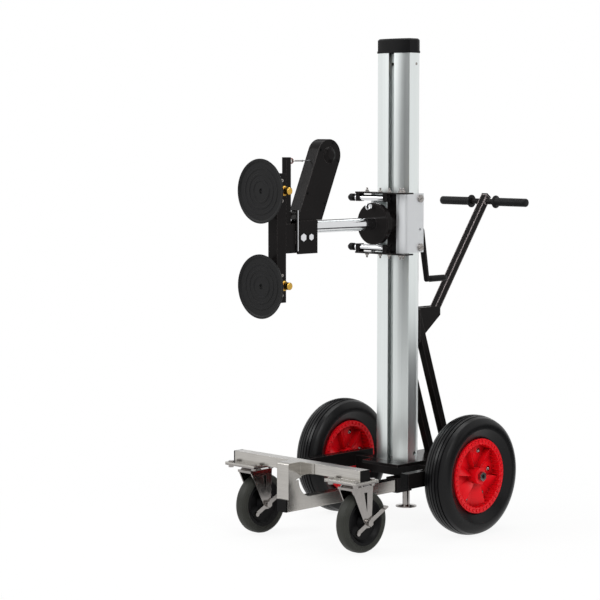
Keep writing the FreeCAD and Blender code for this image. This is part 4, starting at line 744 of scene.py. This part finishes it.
class LIFTER_OT_wheel_trim(bpy.types.Operator):
    """Adds the rim bolts, the toothed rings, the ribs of the dishes and the sunk centres of the axle nuts"""
    bl_idname = "lifter.wheel_trim"
    bl_label = "Wheel trim"

    def execute(self, context):
        for side, sign in (("left", -1), ("right", 1)):
            low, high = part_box("rim_" + side)
            centre, edge = (low + high) / 2, (high.z - low.z) / 2
            self.bolts(side, centre)
            self.rings(side, centre, edge - sizes().ring_inset)
            self.ribs(side, centre, edge - sizes().rim_wall)
            self.axle_end(side, sign)
        return {"FINISHED"}

    def bolts(self, side, centre):
        """Domed bolts on both faces of the web, in a ring."""
        web = sizes().web_thickness / 2
        reach = UP * sizes().rim_bolt_circle
        radius, height = sizes().rim_bolt_radius / MM, sizes().rim_bolt_height / MM
        faces = [dome_bolt(radius, height, centre + reach + way * web, way) for way in (ACROSS, -ACROSS)]
        number = sizes().rim_bolts
        turns = [turned("X", sizes().rim_bolt_turn + math.tau * k / number, centre) for k in range(number)]
        copy_to(join(faces), turns)
        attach(settle("rim_bolts_" + side, "zinc", crease=50), "wheel_" + side)

    def rings(self, side, centre, outer):
        """A flat moulded ring with raised teeth, made on one ledge and turned round for the other."""
        teeth = sizes().ring_teeth
        base, tooth_inset = 0.6 * MM, 1.2 * MM
        face = centre + ACROSS * (sizes().rim_ledge / 2)
        clear_selection()
        bpy.ops.mesh.primitive_circle_add(vertices=teeth * 2, radius=outer, fill_type="NOTHING",
                                          location=face, rotation=(0, math.pi / 2, 0))
        bpy.ops.object.mode_set(mode="EDIT")
        bpy.ops.mesh.select_mode(type="EDGE")
        bpy.ops.mesh.select_all(action="SELECT")
        bpy.ops.mesh.extrude_region_move(TRANSFORM_OT_translate={"value": (0, 0, 0)})
        bpy.ops.transform.resize(value=((outer - sizes().ring_width) / outer,) * 3, center_override=face)
        bpy.ops.mesh.select_all(action="SELECT")
        bpy.ops.mesh.extrude_region_move(TRANSFORM_OT_translate={"value": ACROSS * base})
        bpy.ops.mesh.select_all(action="SELECT")
        bpy.ops.mesh.normals_make_consistent(inside=False)
        step = math.tau / teeth
        pick("FACE", lambda co, normal: normal.z > 0.9 and math.atan2(co.y, co.x) % step < step / 2)
        bpy.ops.mesh.inset(thickness=tooth_inset, use_individual=True)
        bpy.ops.mesh.extrude_region_move(TRANSFORM_OT_translate={"value": ACROSS * sizes().tooth_height})
        bpy.ops.object.mode_set(mode="OBJECT")
        copy_to(bpy.context.object, [Matrix.Identity(4), turned("Z", math.pi, centre)])
        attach(settle("rim_ring_" + side, "red_plastic"), "wheel_" + side)

    def ribs(self, side, centre, wall):
        """Short ribs along the wall of each dish, modelled once and copied round both faces of the rim."""
        number = sizes().ring_teeth
        web = sizes().web_thickness / 2
        deep = sizes().rim_ledge / 2 - web
        slack, bevel = 1 * MM, 0.6 * MM
        foot = centre + Vector((web + deep / 2, 0, wall))
        clear_selection()
        bpy.ops.mesh.primitive_cube_add(size=1, location=foot,
                                        scale=(deep - slack, sizes().rib_width, sizes().rib_height))
        bpy.ops.object.transform_apply(location=False, rotation=False, scale=True)
        bpy.ops.object.mode_set(mode="EDIT")
        pick("FACE", lambda co, normal: normal.z < -0.9)
        taper_shares = (0.97, 0.6, 1)
        bpy.ops.transform.resize(value=taper_shares, center_override=foot)
        bpy.ops.mesh.bevel(offset=bevel, segments=1)
        bpy.ops.object.mode_set(mode="OBJECT")
        rounds = [turned("X", math.tau * (k + 0.5) / number, centre) for k in range(number)]
        flip = turned("Z", math.pi, centre)
        copy_to(bpy.context.object, rounds + [flip @ turn for turn in rounds])
        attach(settle("rim_ribs_" + side, "red_plastic"), "wheel_" + side)

    def axle_end(self, side, sign):
        """A thin ring with a sunk centre on the end of an axle stub."""
        low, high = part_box("axle_stubs")
        middle = (low + high) / 2
        tip = Vector((high.x if sign > 0 else low.x, middle.y, middle.z))
        ring = [(0, 7.4), (0.3, 7.4), (0.8, 6.6), (0.8, 3.4), (0.2, 3)]
        turn_piece(ring, sides=18, foot=tip, way=ACROSS * sign)
        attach(settle("axle_centre_" + side, "black_plastic"), "chassis")


class LIFTER_OT_carriage_bolts(bpy.types.Operator):
    """Stands the bolts on the upper rod plate and hangs their fellows under the lower one"""
    bl_idname = "lifter.carriage_bolts"
    bl_label = "Carriage bolts"

    def execute(self, context):
        low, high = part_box("rod_plates")
        rod = middle_of("lock_rods")
        # Each bolt stands this many millimetres across the plate, and off the rods' line.
        spots = ((-70, 0), (-10, 0), (31, 0), (86, -8), (86, 8))
        for name, level, way in (("upper", high.z, UP), ("lower", low.z, -UP)):
            first = hex_bolt(sizes().carriage_bolt / MM, Vector((0, rod.y, level)), way)
            copy_to(first, [Matrix.Translation((x * MM, y * MM, 0)) for x, y in spots])
            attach(settle("carriage_bolts_" + name, "zinc"), "carriage")
        return {"FINISHED"}


class LIFTER_OT_valve_screws(bpy.types.Operator):
    """Puts the socket screws above and below each valve on the cup bars"""
    bl_idname = "lifter.valve_screws"
    bl_label = "Valve screws"

    def execute(self, context):
        screw_head = 4
        first = socket_screw(sizes().valve_screw / MM, screw_head, ACROSS * (sizes().cup_bar / 2), ACROSS)
        turns = []
        for node in ("valve_upper", "valve_lower"):
            spot = middle_of(node)
            for drop in (-sizes().valve_screw_reach, sizes().valve_screw_reach):
                turns.append(Matrix.Translation((0, spot.y, spot.z + drop)))
        copy_to(first, turns)
        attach(settle("valve_screws", "zinc"), "tilt")
        return {"FINISHED"}


class LIFTER_OT_balancer_trim(bpy.types.Operator):
    """Adds the screws of the balancer's cover and its stop pin"""
    bl_idname = "lifter.balancer_trim"
    bl_label = "Balancer trim"

    def execute(self, context):
        low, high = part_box("balancer_cover")
        radius = sizes().balancer_radius
        lean = sizes().balancer_lean
        top = Vector((low.x + sizes().balancer_cover, high.y - radius, high.z - radius))
        along = Vector((0, math.sin(lean), math.cos(lean)))
        side = ACROSS.cross(along)
        edge = radius - sizes().cover_screw_inset
        foot = top - along * sizes().cover_screw_run
        spots = [top + along * edge]
        spots += [end + side * reach for end in (top, foot) for reach in (edge, -edge)]
        screw_head = 2.4
        first = socket_screw(sizes().cover_screw / MM, screw_head, Vector((0, 0, 0)), ACROSS)
        copy_to(first, [Matrix.Translation(spot) for spot in spots])
        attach(settle("balancer_screws", "black_plastic"), "arm")
        pin_inset, pin_sunk = 12 * MM, 1 * MM
        back = Vector((0, 0.99, -0.1)).normalized()
        pin_foot = top - ACROSS * pin_inset + back * (radius - pin_sunk)
        pin = [(0, 4), (4, 4), (4.2, 6), (7, 6), (8, 4.6)]
        turn_piece(pin, sides=18, foot=pin_foot, way=back)
        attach(settle("balancer_stop_pin", "black_plastic"), "arm")
        return {"FINISHED"}


class LIFTER_OT_weld_beads(bpy.types.Operator):
    """Runs weld beads along the chassis joints"""
    bl_idname = "lifter.weld_beads"
    bl_label = "Weld beads"

    def execute(self, context):
        tube_low, tube_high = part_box("cross_tube")
        sides_low, sides_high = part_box("side_tubes")
        plate_low, plate_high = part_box("base_plate")
        tube_margin, plate_margin = 2 * MM, 4 * MM
        bottom = max(tube_low.z, sides_low.z) + tube_margin
        top = min(tube_high.z, sides_high.z) - tube_margin
        edges = (tube_low.y, tube_high.y)
        beads = [weld_bead(Vector((x, y, bottom)), Vector((x, y, top)))
                 for x in (-tube_high.x, tube_high.x) for y in edges]
        beads += [weld_bead(Vector((plate_low.x + plate_margin, y, tube_high.z)),
                            Vector((plate_high.x - plate_margin, y, tube_high.z))) for y in edges]
        join(beads)
        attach(settle("chassis_welds", "black_paint", crease=60), "chassis")
        return {"FINISHED"}


# Each lamp has a place and an aim in metres, a size in metres and a power in watts.
LAMPS = (("key_lamp", (-2.4, -3.6, 3.6), (0, 0, 0.8), 2.4, 120),
         ("side_lamp", (3.4, -1.6, 3.2), (0, 0, 0.6), 2.0, 65),
         ("top_lamp", (0.0, 0.4, 4.4), (0, 0, 0.6), 2.6, 60))
# Each flag has a place, a width and a height in metres, and an sRGB tone.
FLAGS = (("front_flag", (-1.0, -4.9, 1.6), 2.4, 5.0, "2c2c2e"),
         ("back_flag", (-3.6, 3.4, 3.1), 2.2, 3.0, "2c2c2e"),
         ("side_flag", (5.0, 1.4, 2.0), 1.2, 4.0, "2c2c2e"),
         ("low_flag", (0.95, 0.95, 0.24), 1.5, 0.5, "505052"))
# The camera was fitted to the photograph: its place and reach in metres, its lens and sensor in millimetres.
CAMERA_PLACE = (4.4847, -4.94045, 1.3476)
CAMERA_TURN = (math.radians(90 - 4.94), 0, math.radians(44.54))
CAMERA_LENS = 119.916
CAMERA_SENSOR = 36
CAMERA_REACH = 100
FLOOR_WIDTH = 30
WHITE = (1, 1, 1, 1)


class LIFTER_OT_stage(bpy.types.Operator):
    """Sets the floor, the flags, the lamps, the white surroundings and the camera"""
    bl_idname = "lifter.stage"
    bl_label = "Studio"

    def execute(self, context):
        scene = context.scene
        scene.view_settings.view_transform = "Standard"
        clear_selection()
        bpy.ops.mesh.primitive_plane_add(size=FLOOR_WIDTH, location=(0, 0, 0))
        floor = context.object
        floor.name = "studio_floor"
        floor.data.materials.append(self.floor_finish())
        self.surroundings(scene)
        for name, place, wide, tall, tone in FLAGS:
            self.flag(name, place, wide, tall, tone)
        for name, place, aim, size, power in LAMPS:
            bpy.ops.object.light_add(type="AREA", radius=size, location=place)
            lamp = context.object
            lamp.name = name
            lamp.data.energy = power
            lamp.rotation_euler = (Vector(aim) - Vector(place)).to_track_quat("-Z", "Y").to_euler()
        bpy.ops.object.camera_add(location=CAMERA_PLACE, rotation=CAMERA_TURN)
        camera = context.object
        camera.name = "photo_camera"
        camera.data.lens = CAMERA_LENS
        camera.data.sensor_width = CAMERA_SENSOR
        camera.data.clip_end = CAMERA_REACH
        scene.camera = camera
        return {"FINISHED"}

    def flag(self, name, place, wide, tall, tone):
        """A dark studio flag: only reflections see it, and it gives bright metal its dark edges."""
        felt, tree = blank(name + "_felt")
        dark = add(tree, "Emission", inputs={"Color": linear(tone), "Strength": 1.0})
        add(tree, "OutputMaterial", inputs={"Surface": dark.outputs["Emission"]})
        bpy.ops.mesh.primitive_plane_add(size=1, location=place)
        flag = bpy.context.object
        flag.name = name
        flag.scale = (wide, tall, 1)
        flag.rotation_euler = (math.pi / 2, 0, math.atan2(place[1], place[0]) - math.pi / 2)
        flag.data.materials.append(felt)
        flag.visible_camera = False
        flag.visible_diffuse = False
        flag.visible_shadow = False

    def floor_finish(self):
        # Studio paper, matt and pale: it shows as white, and keeps part of the shade under the machine.
        material, tree = blank("pale_paper_floor")
        place = add(tree, "TexCoord").outputs["Object"]
        fibre = add(tree, "TexNoise", inputs={"Vector": place, "Scale": per_mm(3), "Detail": 2.0})
        bump = add(tree, "Bump",
                   inputs={"Strength": 0.02, "Distance": 0.3 * MM, "Height": fibre.outputs["Fac"]})
        paper = add(tree, "BsdfDiffuse", inputs={"Color": colours().floor, "Normal": bump.outputs["Normal"]})
        white = add(tree, "Emission", inputs={"Color": WHITE, "Strength": 1.0})
        # The paper's shade fades out a metre and a half away, so that no horizon shows.
        away = add(tree, "VectorMath", {"operation": "LENGTH"}, {0: place})
        share = add(tree, "MapRange",
                    inputs={"Value": away.outputs["Value"], "From Min": 0.4, "From Max": 1.5,
                            "To Min": 0.9, "To Max": 1.0})
        part = add(tree, "Math", {"operation": "MULTIPLY"},
                   {0: self.seen_rays(tree), 1: share.outputs["Result"]})
        both = add(tree, "MixShader",
                   inputs={0: part.outputs["Value"], 1: paper.outputs["BSDF"], 2: white.outputs["Emission"]})
        add(tree, "OutputMaterial", inputs={"Surface": both.outputs["Shader"]})
        return material

    def seen_rays(self, tree):
        """A share that is 1 for rays seen straight, in a gloss or through something clear."""
        path = add(tree, "LightPath")
        first = add(tree, "Math", {"operation": "ADD", "use_clamp": True},
                    {0: path.outputs["Is Camera Ray"], 1: path.outputs["Is Glossy Ray"]})
        every = add(tree, "Math", {"operation": "ADD", "use_clamp": True},
                    {0: first.outputs["Value"], 1: path.outputs["Is Transmission Ray"]})
        return every.outputs["Value"]

    def surroundings(self, scene):
        """A white world that is seen at full strength and lights the object more softly."""
        world = bpy.data.worlds.new("white_studio")
        world.use_nodes = True
        tree = world.node_tree
        tree.nodes.clear()
        soft = add(tree, "Background", inputs={"Color": WHITE, "Strength": 0.45})
        full = add(tree, "Background", inputs={"Color": WHITE, "Strength": 1.0})
        both = add(tree, "MixShader",
                   inputs={0: self.seen_rays(tree), 1: soft.outputs["Background"],
                           2: full.outputs["Background"]})
        add(tree, "OutputWorld", inputs={"Surface": both.outputs["Shader"]})
        scene.world = world


OPERATORS = (LIFTER_OT_cad_finishes, LIFTER_OT_lift_rope, LIFTER_OT_balance_wire, LIFTER_OT_suction_cups,
             LIFTER_OT_hand_grips, LIFTER_OT_wheel_trim, LIFTER_OT_carriage_bolts, LIFTER_OT_valve_screws,
             LIFTER_OT_balancer_trim, LIFTER_OT_weld_beads, LIFTER_OT_stage)


class LIFTER_PT_panel(bpy.types.Panel):
    """Lists the lifter's steps, sizes and colours in the sidebar"""
    bl_idname = "LIFTER_PT_panel"
    bl_label = "Glass Panel Lifter"
    bl_space_type = "VIEW_3D"
    bl_region_type = "UI"
    bl_category = "Lifter"

    def draw(self, context):
        for step in OPERATORS:
            self.layout.operator(step.bl_idname)
        for name in LifterSizes.__annotations__:
            self.layout.prop(sizes(), name)
        for name in LifterColours.__annotations__:
            self.layout.prop(colours(), name)


CLASSES = (LifterColours, LifterSizes) + OPERATORS + (LIFTER_PT_panel,)


def register():
    for item in CLASSES:
        bpy.utils.register_class(item)
    bpy.types.Scene.lifter_colours = PointerProperty(type=LifterColours)
    bpy.types.Scene.lifter_sizes = PointerProperty(type=LifterSizes)


def unregister():
    del bpy.types.Scene.lifter_sizes
    del bpy.types.Scene.lifter_colours
    for item in reversed(CLASSES):
        bpy.utils.unregister_class(item)


def main():
    register()
    for step in OPERATORS:
        group, name = step.bl_idname.split(".")
        getattr(getattr(bpy.ops, group), name)()


if __name__ == "__main__":
    main()
